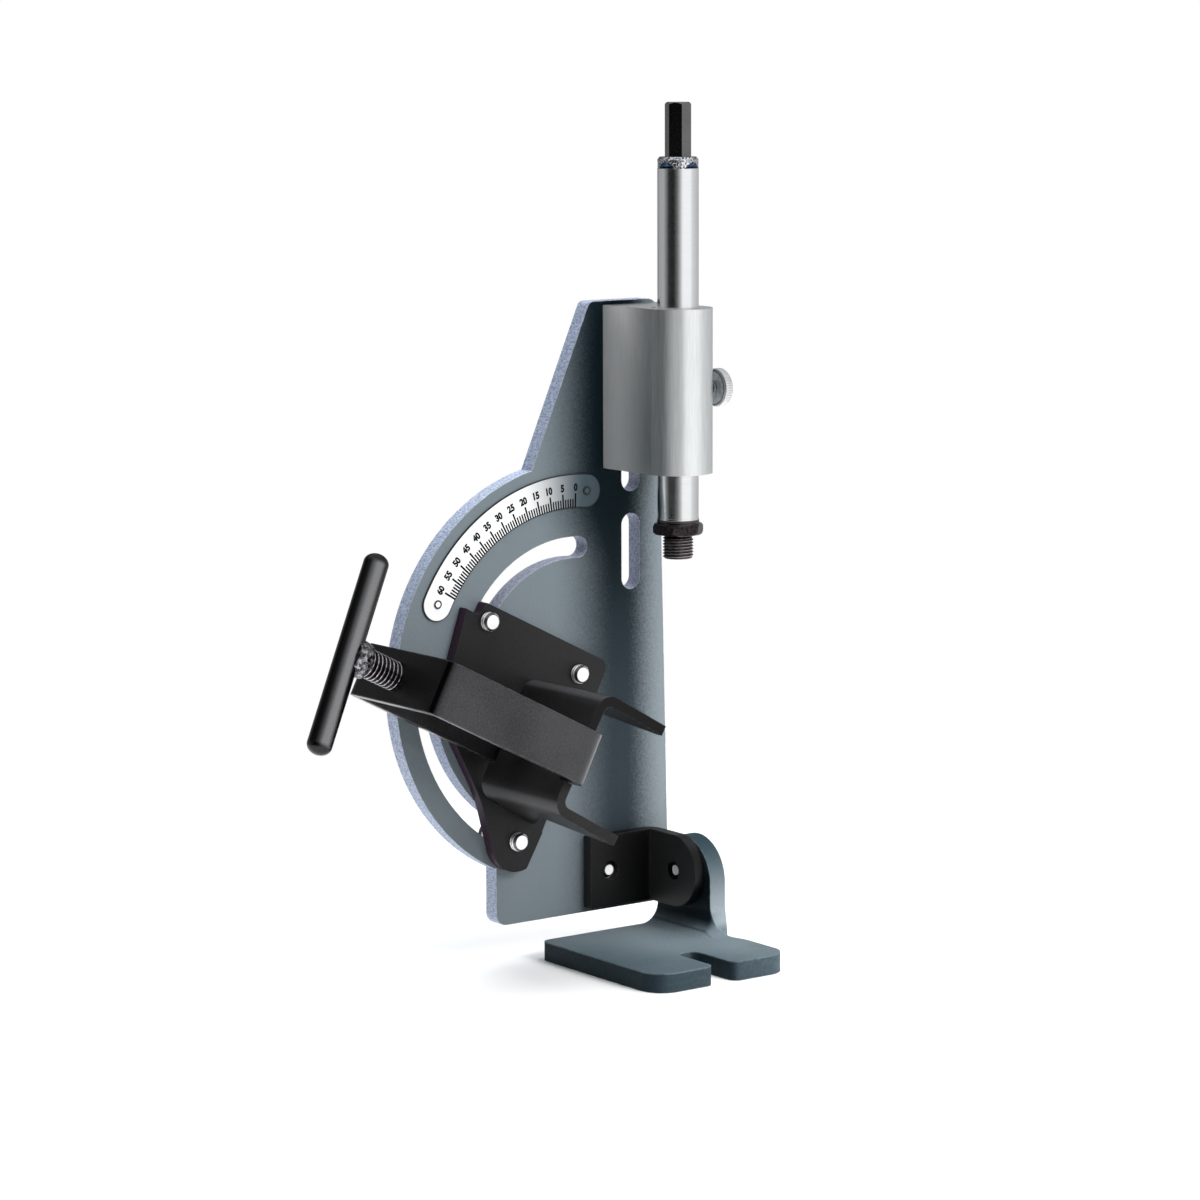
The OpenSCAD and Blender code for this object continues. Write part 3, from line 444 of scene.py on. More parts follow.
# Bearing block and bushes: a piece of drawn steel bar, bored upright, with fine lines along the draw; its
# light and shade are painted into its tint.
# Two bronze bushes sit in the bore. Two bolts through the mast plate's straight slots hold the block.
def metal(name, dark, light, rough, scale=(1, 1, 1), lines=900.0, depth=0.01, soft=0.3, cloud=0.05,
          bare=1.0):
    """Bare or plated metal: colour from dark to light by six tenths fine lines and four tenths slow
    noise. The scale draws the lines out, and the depth is their height in millimetres."""
    n = Net(name)
    streak = n.noise(lines, 3.0, 0.65, n.place(scale))
    slow = n.noise(70.0, 3.0)
    share = n.math("ADD", n.math("MULTIPLY", streak, 0.6), n.math("MULTIPLY", slow, 0.4))
    base = n.math("ADD", n.math("MULTIPLY", slow, cloud), rough)
    gloss = n.math("ADD", n.math("MULTIPLY", streak, 0.12), base)
    return n.finish(n.mix(share, dark, light), bare, gloss, n.bump(streak, depth, 0.7, n.bevel(soft)))


n = Net("drawn block, painted light")
place = n.xyz(n.coords.outputs["Object"])
streak = n.noise(2100.0, 2.0, 0.6, n.place((1, 1, 0.035)))
# Painted light: the tint is pale at the back, dark at the front, and pale on the nose and the top
front = n.step(place[1], 0.030, -0.001)
bright = n.math("MAXIMUM", n.step(place[0], -0.0134, -0.0088), n.math("ABSOLUTE", n.facing(Z)))
dark = n.mix(bright, n.mix(front, (0.90, 0.93, 0.94), (0.170, 0.187, 0.192)), (0.69, 0.715, 0.72))
light = n.mix(bright, n.mix(front, (1.0, 1.0, 1.0), (0.225, 0.243, 0.248)), (0.77, 0.795, 0.80))
tint = n.mix(n.step(streak, 0.3, 0.7), dark, light)
sheen = n.step(n.facing(-X), 0.84, 0.44, 0.38, 1.0)
gloss = n.math("ADD", n.math("MULTIPLY", streak, 0.06), 0.27)
block_painted_light = n.finish(tint, sheen, gloss, n.bump(streak, 0.01, 0.7, n.bevel(0.3)))
bush_metal = metal("bush bronze", dark=(0.20, 0.13, 0.06), light=(0.42, 0.29, 0.14), rough=0.35)
dress("bearing_block", block_painted_light)
dress("upper_bush", bush_metal)
dress("lower_bush", bush_metal)


# Bolts and washers: 8 mm hexagon bolts of zinc plated steel. Their heads and washers sit behind the mast
# plate and outside the foot's ear, and five threaded tips come out in the clamp and the bracket.
TUBE = np.array([0.5, 0.0, math.sqrt(0.75)])
OUT = np.array([-math.sqrt(0.75), 0.0, 0.5])
CLAMP_SEAT = 9.2
BOLT_D = 8.0
BOLT_PITCH = 1.25
BOLT_DEPTH = 0.62
HEAD_AF = 13.0
HEAD_H = 5.3


def clamp_place(along, back, out):
    """A place in the clamp's own plane: the pivot, plus along the tube, to the back, and from the jaw
    towards the screw, in millimetres."""
    return PIVOT + along * TUBE + back * Y + out * OUT


def angles(cols):
    """The angle of each column of a turned piece."""
    return np.linspace(0, 2 * math.pi, cols, endpoint=False)


def turned(origin, axis, first, rows, cols=64):
    """A closed piece round an axis: origin, plus height times the axis, plus radius times the cosine of
    the column's angle along first and its sine across. A row is a height and one radius, or one for each
    column, and the two ends are flat."""
    a = angles(cols)
    ring = np.cos(a)[:, None] * first + np.sin(a)[:, None] * np.cross(axis, first)
    heights = np.array([h for h, r in rows])
    radii = np.array([np.broadcast_to(r, cols) for h, r in rows])
    verts = origin + heights[:, None, None] * axis + radii[:, :, None] * ring
    j = np.arange(cols)
    k = (j + 1) % cols
    row = cols * np.arange(len(rows) - 1)[:, None]
    sides = np.stack([row + j, row + k, row + cols + k, row + cols + j], -1).reshape(-1, 4)
    last = (len(rows) - 1) * cols
    ends = [j[::-1].tolist(), (last + j).tolist()]
    return verts.reshape(-1, 3), sides.tolist() + ends


def hexagon(cols, flats):
    """Distance from the axis to a hexagon's side for each column, half the width over the cosine of the
    angle from the side's middle, with a corner on the first column."""
    a = (angles(cols) + math.pi / 6) % (math.pi / 3) - math.pi / 6
    return flats / 2 / np.cos(np.abs(a) - math.pi / 6)


def thread(start, end, radius, depth, pitch, cols, per_turn=14, mouth=0.0, tail=0.0):
    """Rows of a screw thread: t is the share of a pitch by which height and angle are past the crest,
    and the cut grows evenly to the depth at its half. Mouth and tail taper the two ends."""
    rows = []
    for h in np.linspace(start, end, max(2, int((end - start) / pitch * per_turn))):
        t = (h / pitch - angles(cols) / (2 * math.pi)) % 1.0
        cut = np.clip((1 - np.abs(2 * t - 1) - 0.12) / 0.70, 0, 1)
        r = radius - depth * cut
        r = np.minimum(r, radius - mouth + (h - start)) if mouth else r
        r = np.minimum(r, radius - tail + (end - h)) if tail else r
        rows.append((h, r))
    return rows


def bolt(origin, axis, first, length, grip, point=1.1, cols=72):
    """A hexagon bolt along an axis: a head with crowned corners, a plain grip, then thread to a tip that
    tapers by the point."""
    side = hexagon(cols, HEAD_AF)
    crown = 0.475 * HEAD_AF
    rows = [(-HEAD_H, np.minimum(side, crown) - 0.5)]
    rows += [(-HEAD_H + 0.12, np.minimum(side, crown))]
    rows += [(-HEAD_H + s, np.minimum(side, crown + s)) for s in np.linspace(0.2, 1.4, 5)]
    rows += [(-0.25, side), (0.0, side - 0.25), (0.0, BOLT_D / 2), (grip, BOLT_D / 2)]
    rows += thread(grip + 0.3, length, BOLT_D / 2, BOLT_DEPTH, BOLT_PITCH, cols, tail=point - 0.05)
    rows += [(length, BOLT_D / 2 - point), (length - 0.05, BOLT_D / 2 - point - 0.5)]
    return turned(origin, axis, first, rows, cols)


def ends_bright(obj, axis, mat):
    """Gives the faces that look along an axis a second finish."""
    obj.data.materials.append(mat)
    pick = [int(face.normal.dot(Vector(axis)) > 0.8) for face in obj.data.polygons]
    obj.data.polygons.foreach_set("material_index", pick)


zinc = metal("zinc plate", dark=(0.78, 0.79, 0.80), light=(0.98, 0.98, 0.97), rough=0.20, lines=1700.0,
             depth=0.04, soft=0.15)
# Dark zinc: its darkness is painted shade for the roots of the bolts' threads; it also dresses the thumb
# screw's stem, outer rings and back
thread_shade_zinc = metal("zinc, thread, painted shade", dark=(0.012, 0.012, 0.014), light=(0.30, 0.30, 0.32), rough=0.25,
                    lines=1300.0, depth=0.05)
tip_zinc = metal("zinc, end face", dark=(0.80, 0.80, 0.81), light=(1.0, 1.0, 1.0), rough=0.35,
                 lines=2100.0, depth=0.06, soft=0.1)
sunk_zinc = metal("zinc, sunk end face", dark=(0.80, 0.80, 0.81), light=(1.0, 1.0, 1.0), rough=0.35,
                  lines=2100.0, depth=0.06, soft=0.1, bare=0.2)
for name in ("hinge_washer", "bracket_washer", "block_bolts", "block_washers", "clamp_washers"):
    dress(name, zinc)
clamp_bolts = {"pivot_bolt_threaded": ("pivot_bolt", 0.0, 0.0),
               "inner_angle_bolt": ("angle_bolts", 0.0, 52.5),
               "outer_angle_bolt": ("angle_bolts", -73.95, -6.08)}
for name, (node, along, out) in clamp_bolts.items():
    verts, faces = bolt(clamp_place(along, CLAMP_SEAT, out), -Y, TUBE, length=17.3, grip=9.0)
    tip = made(name, verts, faces, thread_shade_zinc, "clamp", replaces=(node,), slot="zinc")
    ends_bright(tip, -Y, tip_zinc)
bracket_bolts = {"bracket_bolt_threaded": ("bracket_bolt", (-14.6, 41.7, HINGE_Z), -Y, X, 13.1),
                 "hinge_bolt_threaded": ("hinge_bolt", (20.8, HINGE_Y, HINGE_Z), -X, Z, 13.6)}
for name, (node, seat, axis, first, length) in bracket_bolts.items():
    verts, faces = bolt(np.array(seat), axis, first, length, grip=5.0, point=1.9)
    tip = made(name, verts, faces, thread_shade_zinc, "bracket", replaces=(node,), slot="zinc")
    ends_bright(tip, axis, sunk_zinc)


# Angle scale: a thin metal strip that follows the pivot's circle, held to the mast plate by two rivets.
# It is bright, darkens towards the zero end and has a thin dark outline, painted shade along its edges. The
# dark ticks stand at every degree, longer at every five, with a figure at each of those.
SCALE_ZERO = -1.4
SCALE_LAST = 60
SCALE_R = 76.1
STRIP_MIDDLE = SCALE_ZERO + SCALE_LAST / 2
STRIP_HALF = SCALE_LAST / 2 + 4.3
STRIP_FACE = 0.84
TICK_FOOT = 69.15
FIGURE_R = 77.6
FIGURE_TALL = 3.25


def scale_finish(outline):
    """The strip's finish by angle and radius from the pivot, with its outline of painted edge shade or with
    the rivets' rings, each where the distance to the strip's two ends and middle line crosses a given value."""
    n = Net("scale strip" if outline else "scale rivet")
    spot = n.xyz(n.place((1, 1, 1), tuple(PIVOT)))
    turn = n.math("ARCTAN2", n.math("MULTIPLY", spot[0], -1.0), spot[2])
    flat = n.tree.nodes.new("ShaderNodeCombineXYZ")
    n.put(flat.inputs[0], spot[0])
    n.put(flat.inputs[1], spot[2])
    radius = n.length(flat.outputs[0])
    bright = n.step(turn, math.radians(-5), math.radians(25))
    color = n.mix(bright, (0.040, 0.062, 0.077), (0.80, 0.81, 0.815))
    ends = []
    for a in np.radians([STRIP_MIDDLE - STRIP_HALF, STRIP_MIDDLE + STRIP_HALF]):
        end = PIVOT + SCALE_R * np.array([-math.sin(a), -0.0105, math.cos(a)])
        ends.append(n.length(n.place((1, 1, 1), tuple(end))))
    near = n.math("MINIMUM", ends[0], ends[1])
    if outline:
        # The outline is painted shade along the strip's edges
        off = n.math("ABSOLUTE", n.math("SUBTRACT", turn, math.radians(STRIP_MIDDLE)))
        within = n.math("LESS_THAN", off, math.radians(STRIP_HALF))
        band = n.math("ABSOLUTE", n.math("SUBTRACT", radius, SCALE_R * MM))
        away = n.math("MINIMUM", near, n.math("ADD", band, n.math("SUBTRACT", 1.0, within)))
        line = n.step(away, 0.00658, 0.00674)
    else:
        line = n.math("MULTIPLY", n.step(near, 0.00115, 0.0013), n.step(near, 0.00195, 0.0018))
    color = n.mix(line, color, (0.003, 0.005, 0.006))
    grain = n.noise(1500.0, 3.0, 0.6, n.place((0.1, 1, 1)))
    rough = n.math("ADD", n.math("MULTIPLY", grain, 0.15), 0.3)
    return n.finish(color, 0.0, rough, n.bump(grain, 0.004, 0.5))


def scale_spots(degree, radius, right):
    """Places on the strip's face: the pivot, plus each radius outwards at the degree's angle, plus each
    right along the arc."""
    a = math.radians(degree + SCALE_ZERO)
    up = np.array([-math.sin(a), 0.0, math.cos(a)])
    across = np.array([math.cos(a), 0.0, math.sin(a)])
    return PIVOT - STRIP_FACE * Y + np.outer(radius, up) + np.outer(right, across)


dress("angle_scale", scale_finish(True))
dress("scale_rivets", scale_finish(False))
n = Net("scale ink")
ink = n.finish(n.mix(n.noise(900.0), (0.001, 0.001, 0.0012), (0.004, 0.004, 0.005)), 0.0, 0.6, spec=0.1)
marks = []
for degree in range(SCALE_LAST + 1):
    far, half = (75.05, 0.40) if degree % 5 == 0 else (72.8, 0.35)
    tick = scale_spots(degree, (TICK_FOOT, TICK_FOOT, far, far), (-half, half, half, -half))
    marks.append((tick, [(0, 1, 2, 3)]))
for degree in range(0, SCALE_LAST + 1, 5):
    curve = bpy.data.curves.new("figure", "FONT")
    curve.body = str(degree)
    curve.align_x = "CENTER"
    curve.offset = 0.058
    curve.resolution_u = 4
    figure = bpy.data.objects.new("figure", curve)
    shape = figure.to_mesh()
    spots = np.array([v.co[:2] for v in shape.vertices])
    polys = [tuple(p.vertices) for p in shape.polygons]
    tall = FIGURE_TALL / np.ptp(spots[:, 1])
    spots = (spots - (spots.max(0) + spots.min(0)) / 2) * (0.88 * tall, tall)
    marks.append((scale_spots(degree, FIGURE_R + spots[:, 1], spots[:, 0]), polys))
    figure.to_mesh_clear()
    bpy.data.objects.remove(figure)
    bpy.data.curves.remove(curve)
made("scale_marks", *joined(marks), ink, "mast")


# Thumb screw: turned steel, zinc plated, with a knurled rim and with rings on the face towards the block.
# Its thin stem is screwed into the block's side.
THUMB_Z = 237.4
KNURL_R = 8.0
KNURL_DEPTH = 0.28
KNURL_RIDGES = 48
KNURL_LOW = 19.3
RIM_R = 7.5
FACE_R = 6.8
THUMB_COLS = 288
knurl = KNURL_R - KNURL_DEPTH * np.abs(np.sin(KNURL_RIDGES / 2 * angles(THUMB_COLS)))
stem = [(8.8, 2.4), (14.3, 2.4), (14.4, 2.7), (16.9, 2.7), (17.1, 2.2), (17.4, 2.2), (17.6, 2.75)]
rings = [(18.36, 2.75), (18.36, 3.2), (18.42, 3.5), (18.36, 3.8), (18.36, 6.4), (18.44, 6.7), (18.36, 7.0)]
head = [(18.36, 7.3), (18.95, 7.55), (KNURL_LOW, 7.6), (19.35, knurl), (22.35, knurl), (22.8, 7.5)]
back = [(22.95, 7.1), (22.95, 6.2), (22.6, 5.8)]
face_zinc = metal("zinc, turned face", dark=(0.0, 0.03, 0.05), light=(0.95, 1.0, 1.0), rough=0.24,
                  lines=800.0, depth=0.2, soft=0.2, bare=0.6)
rim_zinc = metal("zinc, knurl", dark=(0.35, 0.36, 0.37), light=(0.95, 0.95, 0.95), rough=0.30,
                 lines=1500.0, depth=0.05, bare=0.9)
verts, faces = turned(THUMB_Z * Z, X, Z, stem + rings + head + back, THUMB_COLS)
thumb = made("thumb_screw_knurled", verts, faces, thread_shade_zinc, "thumb_screw", replaces=("thumb_screw",),
             slot="zinc")
ends_bright(thumb, -X, face_zinc)
thumb.data.materials.append(rim_zinc)
for face in thumb.data.polygons:
    away = math.hypot(face.center.y, face.center.z - THUMB_Z * MM)
    if away > FACE_R * MM:
        face.material_index = 2 if face.center.x > KNURL_LOW * MM and away > RIM_R * MM else 0


# Spindle shaft: 17 mm ground steel bar that turns and slides in the bushes. Just below the shank it has
# four slanted flats and a rough band of weld.
SHAFT_R = 8.5
SHAFT_LOW = 183.4
ROUGH_LOW = 328.2
ROUGH_TOP = 332.9
FLAT_TURNS = (-166.7, -79.7, 10.3, 97.3)
FLAT_LOW = 328.5
FLAT_TOP = 330.8
FLAT_CUT = 0.95
FLAT_SHARE = 0.112
TAPER_LOW = 331.9
SHAFT_COLS = 160
shaft_metal = metal("ground shaft", dark=(0.66, 0.67, 0.68), light=(0.84, 0.85, 0.86), rough=0.13,
                    scale=(0.04, 0.04, 1), lines=2600.0, depth=0.004, cloud=0.02)
n = Net("shaft weld")
spot = n.noise(1300.0, 3.0, 0.7)
tint = n.mix(n.step(spot, 0.42, 0.58), (0.05, 0.06, 0.08), (0.85, 0.86, 0.88))
shaft_weld = n.finish(tint, 1.0, n.math("ADD", n.math("MULTIPLY", spot, 0.2), 0.2), n.bump(spot, 0.12, 1.0))
n = Net("shaft flats")
spot = n.noise(900.0, 3.0, 0.7, n.place((1, 1, 0.3)))
tint = n.mix(n.step(spot, 0.45, 0.65), (0.012, 0.022, 0.050), (0.10, 0.16, 0.28))
shaft_flat = n.finish(tint, 1.0, 0.3, n.bump(spot, 0.03, 0.8))
a = angles(SHAFT_COLS)
rng = np.random.default_rng(5)
rows = [(SHAFT_LOW, SHAFT_R - 0.3), (SHAFT_LOW + 0.3, SHAFT_R), (328.0, SHAFT_R)]
# The rough band: the mean of five slanted waves, with some chance, is cut off the radius
for h in np.concatenate([np.linspace(ROUGH_LOW, TAPER_LOW, 30), np.linspace(332.0, ROUGH_TOP, 6)]):
    wave = sum(math.sin(k * h * 2.1 + 1.3 * k) * np.sin(a * (3 * k + 4) + k * h) for k in range(1, 6)) / 5
    rough = 0.20 * (wave + 0.5 * rng.random(SHAFT_COLS)) * min(1.0, max(0.0, (h - ROUGH_LOW) / 0.8))
    r = SHAFT_R - np.clip(0.12 + rough, 0.0, 0.5) * (h > 328.3) - max(0.0, h - TAPER_LOW) * 0.8
    for turn in FLAT_TURNS:
        off = (a - math.radians(turn) + math.pi) % (2 * math.pi) - math.pi
        near = np.abs(off) < 0.6
        if FLAT_LOW <= h <= FLAT_TOP:
            share = (FLAT_TOP - h) / (FLAT_TOP - FLAT_LOW)
            chord = (SHAFT_R - FLAT_CUT * share) / np.cos(np.where(near, off, 0.0))
            r = np.where(near, np.minimum(r, chord), r)
    rows.append((h, r))
rows.append((ROUGH_TOP, 5.0))
verts, faces = turned(np.zeros(3), Z, X, rows, SHAFT_COLS)
spindle = made("spindle_shaft_ground", verts, faces, shaft_metal, "spindle", replaces=("spindle_shaft",),
               slot="bright_steel")
mesh = spindle.data
mesh.materials.append(shaft_weld)
mesh.materials.append(shaft_flat)
pick = []
for face in mesh.polygons:
    spot = face.center / MM
    kind = 0
    if spot.z > 328.25:
        bearing = math.degrees(math.atan2(spot.y, spot.x))
        off = min(abs((bearing - turn + 180) % 360 - 180) for turn in FLAT_TURNS)
        chord = 1 - FLAT_SHARE * (FLAT_TOP - spot.z) / (FLAT_TOP - FLAT_LOW)
        reach = math.degrees(math.acos(max(-1.0, min(1.0, chord)))) if spot.z < FLAT_TOP else 0.0
        kind = 2 if off < reach else 1
    pick.append(kind)
mesh.polygons.foreach_set("material_index", pick)


# Thrust washer: a steel ring round the shaft, on the arbor's hexagon, that meets the block when the
# spindle is raised. It is blackened, and its upper side is bright.
WASHER_R = 8.75
WASHER_BORE_R = 8.56
oxide = metal("black oxide", dark=(0.018, 0.014, 0.015), light=(0.20, 0.17, 0.175), rough=0.26,
              lines=1500.0, depth=0.08)
rows = [(183.42, WASHER_BORE_R), (183.42, WASHER_R), (184.1, WASHER_R), (184.2, 8.6), (184.98, 8.6)]
rows += [(184.98, WASHER_BORE_R)]
verts, faces = turned(np.zeros(3), Z, X, rows, 96)
washer = made("thrust_washer_seated", verts, faces, oxide, "thrust", replaces=("thrust_washer",),
              slot="black_oxide")
washer.data.materials.append(shaft_metal)
for face in washer.data.polygons:
    face.material_index = int(face.center.z > 0.1842)


# Drive shank and arbor: blackened steel at the two ends of the shaft. The shank is a hexagon for a drill.
# The arbor has a crowned hexagon with painted highlights on its edges, and below it a cut thread for the
# hole saw, bright on its crests.
FLANGE_AF = 19.05
ARBOR_R = 6.35
ARBOR_PITCH = 1.27
ARBOR_DEPTH = 0.72
ARBOR_TURN = math.radians(20)
ARBOR_COLS = 144
shank_metal = metal("shank oxide", dark=(0.05, 0.05, 0.05), light=(0.30, 0.30, 0.30), rough=0.10,
                    lines=2600.0, depth=0.03)
dress("drive_shank", shank_metal)
n = Net("black oxide, arbor")
spot = n.noise(1100.0, 3.0, 0.7)
tint = n.mix(n.step(spot, 0.35, 0.65), (0.012, 0.010, 0.0105), (0.048, 0.039, 0.041))
crest = n.step(n.length(n.place((1, 1, 0.0001))), 0.0059, 0.0063)
worn_and_glint = n.math("MULTIPLY", crest, n.step(n.xyz(n.coords.outputs["Object"])[2], 0.1775, 0.1770))
# Painted highlights along the hexagon's sharp edges
worn_and_glint = n.math("MAXIMUM", worn_and_glint, n.math("MULTIPLY", n.edges(0.3, 0.01, 0.10), 0.75))
tint = n.mix(worn_and_glint, tint, (0.40, 0.36, 0.37))
gloss = n.math("ADD", n.math("MULTIPLY", spot, 0.1), 0.24)
arbor_metal = n.finish(tint, 1.0, gloss, n.bump(spot, 0.008, 0.6, n.bevel(0.1)))
side = hexagon(ARBOR_COLS, FLANGE_AF)
crown = 0.515 * FLANGE_AF
round_side = np.minimum(side, crown)
rows = [(0.0, 5.5), (0.1, 8.7), (0.75, 8.8), (0.8, round_side - 0.3), (0.95, round_side)]
rows += [(0.95 + s, np.minimum(side, crown + s)) for s in np.linspace(0.1, 1.1, 5)]
rows += [(5.4 - s, np.minimum(side, crown + s)) for s in np.linspace(1.1, 0.1, 5)]
rows += [(5.4, round_side - 0.3), (5.4, 5.5), (6.3, 5.5)]
rows += thread(6.4, 15.4, ARBOR_R, ARBOR_DEPTH, ARBOR_PITCH, ARBOR_COLS, per_turn=16, mouth=0.8, tail=0.8)
rows += [(15.4, 4.8), (15.1, 4.4)]
first = np.array([math.cos(ARBOR_TURN), -math.sin(ARBOR_TURN), 0.0])
verts, faces = turned(SHAFT_LOW * Z, -Z, first, rows, ARBOR_COLS)
made("arbor_threaded", verts, faces, arbor_metal, "spindle", replaces=("arbor",), slot="black_oxide")


# Clamp plate: 5 mm steel with an index edge that points at the scale. It turns on the pivot bolt and is
# locked by the two angle bolts. Its faces are satin black, and its cut rim is a dark purple brown.
def clamp_tone(n, color):
    """The rim's brown where the surface faces neither front nor back."""
    across = n.math("ABSOLUTE", n.xyz(n.coords.outputs["Normal"])[1])
    return n.mix(n.step(across, 0.75, 0.35), color, (0.034, 0.018, 0.032))


satin_plate = coated("satin black, clamp plate", dark=(0.007, 0.007, 0.008), light=(0.014, 0.014, 0.015),
                     grain=0.07, rough=0.42, soft=0.4, rub_and_glint=(0.06, 0.05, 0.06), rub_and_glint_share=0.4,
                     tone=clamp_tone, spec=0.2)
dress("clamp_plate", satin_plate)


# V jaw: a steel channel with four notches that hold the tube, fixed to the clamp plate and turned with
# it. Its coat is satin black, a little greyer than the plate's.
def jaw_tone(n, color):
    """Painted highlight on the bends, where the surface faces both along the tube and out, and painted
    shade, black, on the upper half's front.
    """
    bend = n.math("ABSOLUTE", n.math("MULTIPLY", n.facing(OUT), n.facing(TUBE)))
    # Painted highlight on the bends
    color = n.mix(n.math("MULTIPLY", n.step(bend, 0.30, 0.5), 0.5), color, (0.11, 0.11, 0.115))
    place = n.xyz(n.coords.outputs["Object"])
    # Painted shade on the upper half's front
    cut = n.math("MULTIPLY", n.step(n.facing(-Y), 0.5, 0.9), n.step(place[2], 0.082, 0.088))
    return n.mix(n.math("MULTIPLY", cut, 0.8), color, (0.002, 0.002, 0.0022))


satin_jaw = coated("satin black, jaw", dark=(0.012, 0.0115, 0.012), light=(0.026, 0.025, 0.026), grain=0.04,
                   rough=0.36, soft=0.6, rub_and_glint=(0.12, 0.115, 0.12), rub_and_glint_share=0.4, tone=jaw_tone, sheen=0.3,
                   spec=0.12)
dress("v_jaw", satin_jaw)


# Strap: 4 mm flat steel bent into a closed loop round the jaw, with a hole in one end for the clamp
# screw. Its coat is satin black, greyer than the jaw's. It leans by three degrees, with its screw, about
# the place where the screw bears on the jaw.
SCREW_SEAT = 26.8
LEAN = math.radians(3)
ACROSS = math.cos(LEAN) * TUBE + math.sin(LEAN) * OUT
AWAY = math.cos(LEAN) * OUT - math.sin(LEAN) * TUBE
SCREW_BASE = clamp_place(-39.4, -32.5, SCREW_SEAT) - SCREW_SEAT * AWAY
SCREW_TURN = (0.0, -math.pi / 3 - LEAN, 0.0)
STRAP_FRONT = min(v.co.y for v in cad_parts["strap"].data.vertices)


def strap_tone(n, color):
    """Painted shade: darker on the outside of the end that holds the screw, and black along that end's front
    ridge.
    """
    part = n.xyz(n.place((1, 1, 1), tuple(SCREW_BASE), SCREW_TURN))
    # Painted shade on the outside of the screw's end
    end = n.math("MULTIPLY", n.step(part[2], 0.1005, 0.1015), n.step(n.facing(AWAY), 0.3, 0.8))
    color = n.mix(n.math("MULTIPLY", end, 0.5), color, (0.010, 0.010, 0.011))
    # Painted shade along that end's front ridge
    front = n.step(part[1], STRAP_FRONT + 0.0036, STRAP_FRONT + 0.0030)
    ridge = n.math("MULTIPLY", n.step(part[2], 0.1008, 0.1016), front)
    return n.mix(ridge, color, (0.001, 0.001, 0.001))


satin_grey = coated("satin black, strap", dark=(0.030, 0.030, 0.032), light=(0.060, 0.060, 0.063),
                    grain=0.03, rough=0.27, soft=0.9, rub_and_glint=(0.24, 0.24, 0.25), rub_and_glint_share=0.5,
                    tone=strap_tone, sheen=0.85, spec=0.3)
dress("strap", satin_grey)


# Clamp screw: a 12 mm steel screw through the strap's end that bears on the jaw, so that turning it
# draws the strap onto the tube. Its thread is cut: the rubbed crests are bright and the roots black.
HANDLE_Z = 126.7176
SCREW_R = 6.0
SCREW_DEPTH = 0.85
SCREW_PITCH = 2.0
SCREW_COLS = 64
n = Net("clamp screw")
part = n.xyz(n.place((1, 1, 1), tuple(SCREW_BASE), SCREW_TURN))
flat = n.tree.nodes.new("ShaderNodeCombineXYZ")
n.put(flat.inputs[0], part[0])
n.put(flat.inputs[1], part[1])
reach = n.length(flat.outputs[0])
grit = n.noise(1400.0, 3.0, 0.7)
crest = n.step(n.math("ADD", reach, n.math("MULTIPLY", grit, 0.0005)), 0.00600, 0.00628)
tint = n.mix(crest, (0.020, 0.015, 0.020), (0.62, 0.61, 0.63))
gloss = n.math("ADD", n.math("MULTIPLY", grit, 0.2), 0.2)
screw_metal = n.finish(tint, 1.0, gloss, n.bump(grit, 0.03, 0.8))
rows = [(27.14, 3.9), (27.14, 4.5)]
rows += thread(27.2, HANDLE_Z - 5.5, SCREW_R, SCREW_DEPTH, SCREW_PITCH, SCREW_COLS, mouth=1.5)
verts, faces = turned(SCREW_BASE, AWAY, ACROSS, rows, SCREW_COLS)
made("clamp_screw_threaded", verts, faces, screw_metal, "screw", replaces=("clamp_screw",),
     slot="dark_steel")


# Handle: a round steel bar welded across the screw's end, eight degrees off the tube's direction, by
# which the screw is turned. Its ends are rounded off, and its coat is satin black.
HANDLE_TURN = math.radians(8)
HANDLE_PLACE = SCREW_BASE + HANDLE_Z * AWAY
HANDLE_R = 5.1
HANDLE_STRAIGHT = 37.92
HANDLE_END = 4.08


def bar_tone(n, color):
    """Painted shade in two dark bands along the bar, by how far the surface faces the camera's right, and on
    its ends.
    """
    # Painted shade in two bands, by how far the surface faces the camera's right
    side = n.facing((math.cos(0.64), -math.sin(0.64), 0.0))
    dark = n.math("MULTIPLY", n.step(side, -0.93, -0.80), n.step(side, 0.10, -0.35))
    dark = n.math("MAXIMUM", dark, n.step(side, 0.62, 0.88))
    color = n.mix(n.math("MULTIPLY", dark, 0.93), color, (0.004, 0.004, 0.004))
    # Painted shade on the ends
    far = n.length(n.place((1, 1, 1), tuple(HANDLE_PLACE)))
    return n.mix(n.step(far, 0.0374, 0.0395), color, (0.035, 0.035, 0.036))


satin_bar = coated("satin black, handle", dark=(0.20, 0.20, 0.205), light=(0.23, 0.23, 0.235), grain=0.002,
                   rough=0.24, soft=0.3, tone=bar_tone, sheen=1.0)
# Each end is half an ellipse: the sine carries it out and the cosine draws it in
t = np.linspace(0, 1.52, 14)
heights = HANDLE_STRAIGHT + HANDLE_END * np.sin(t)
radii = HANDLE_R * np.cos(t) - 0.004
rows = list(zip(-heights[::-1], radii[::-1])) + list(zip(heights, radii))
bar_axis = math.cos(HANDLE_TURN) * ACROSS + math.sin(HANDLE_TURN) * Y
verts, faces = turned(HANDLE_PLACE, bar_axis, np.cross(bar_axis, AWAY), rows, 96)
made("handle_bar_round", verts, faces, satin_bar, "screw", 60.0, ("handle_bar",), "satin_black")


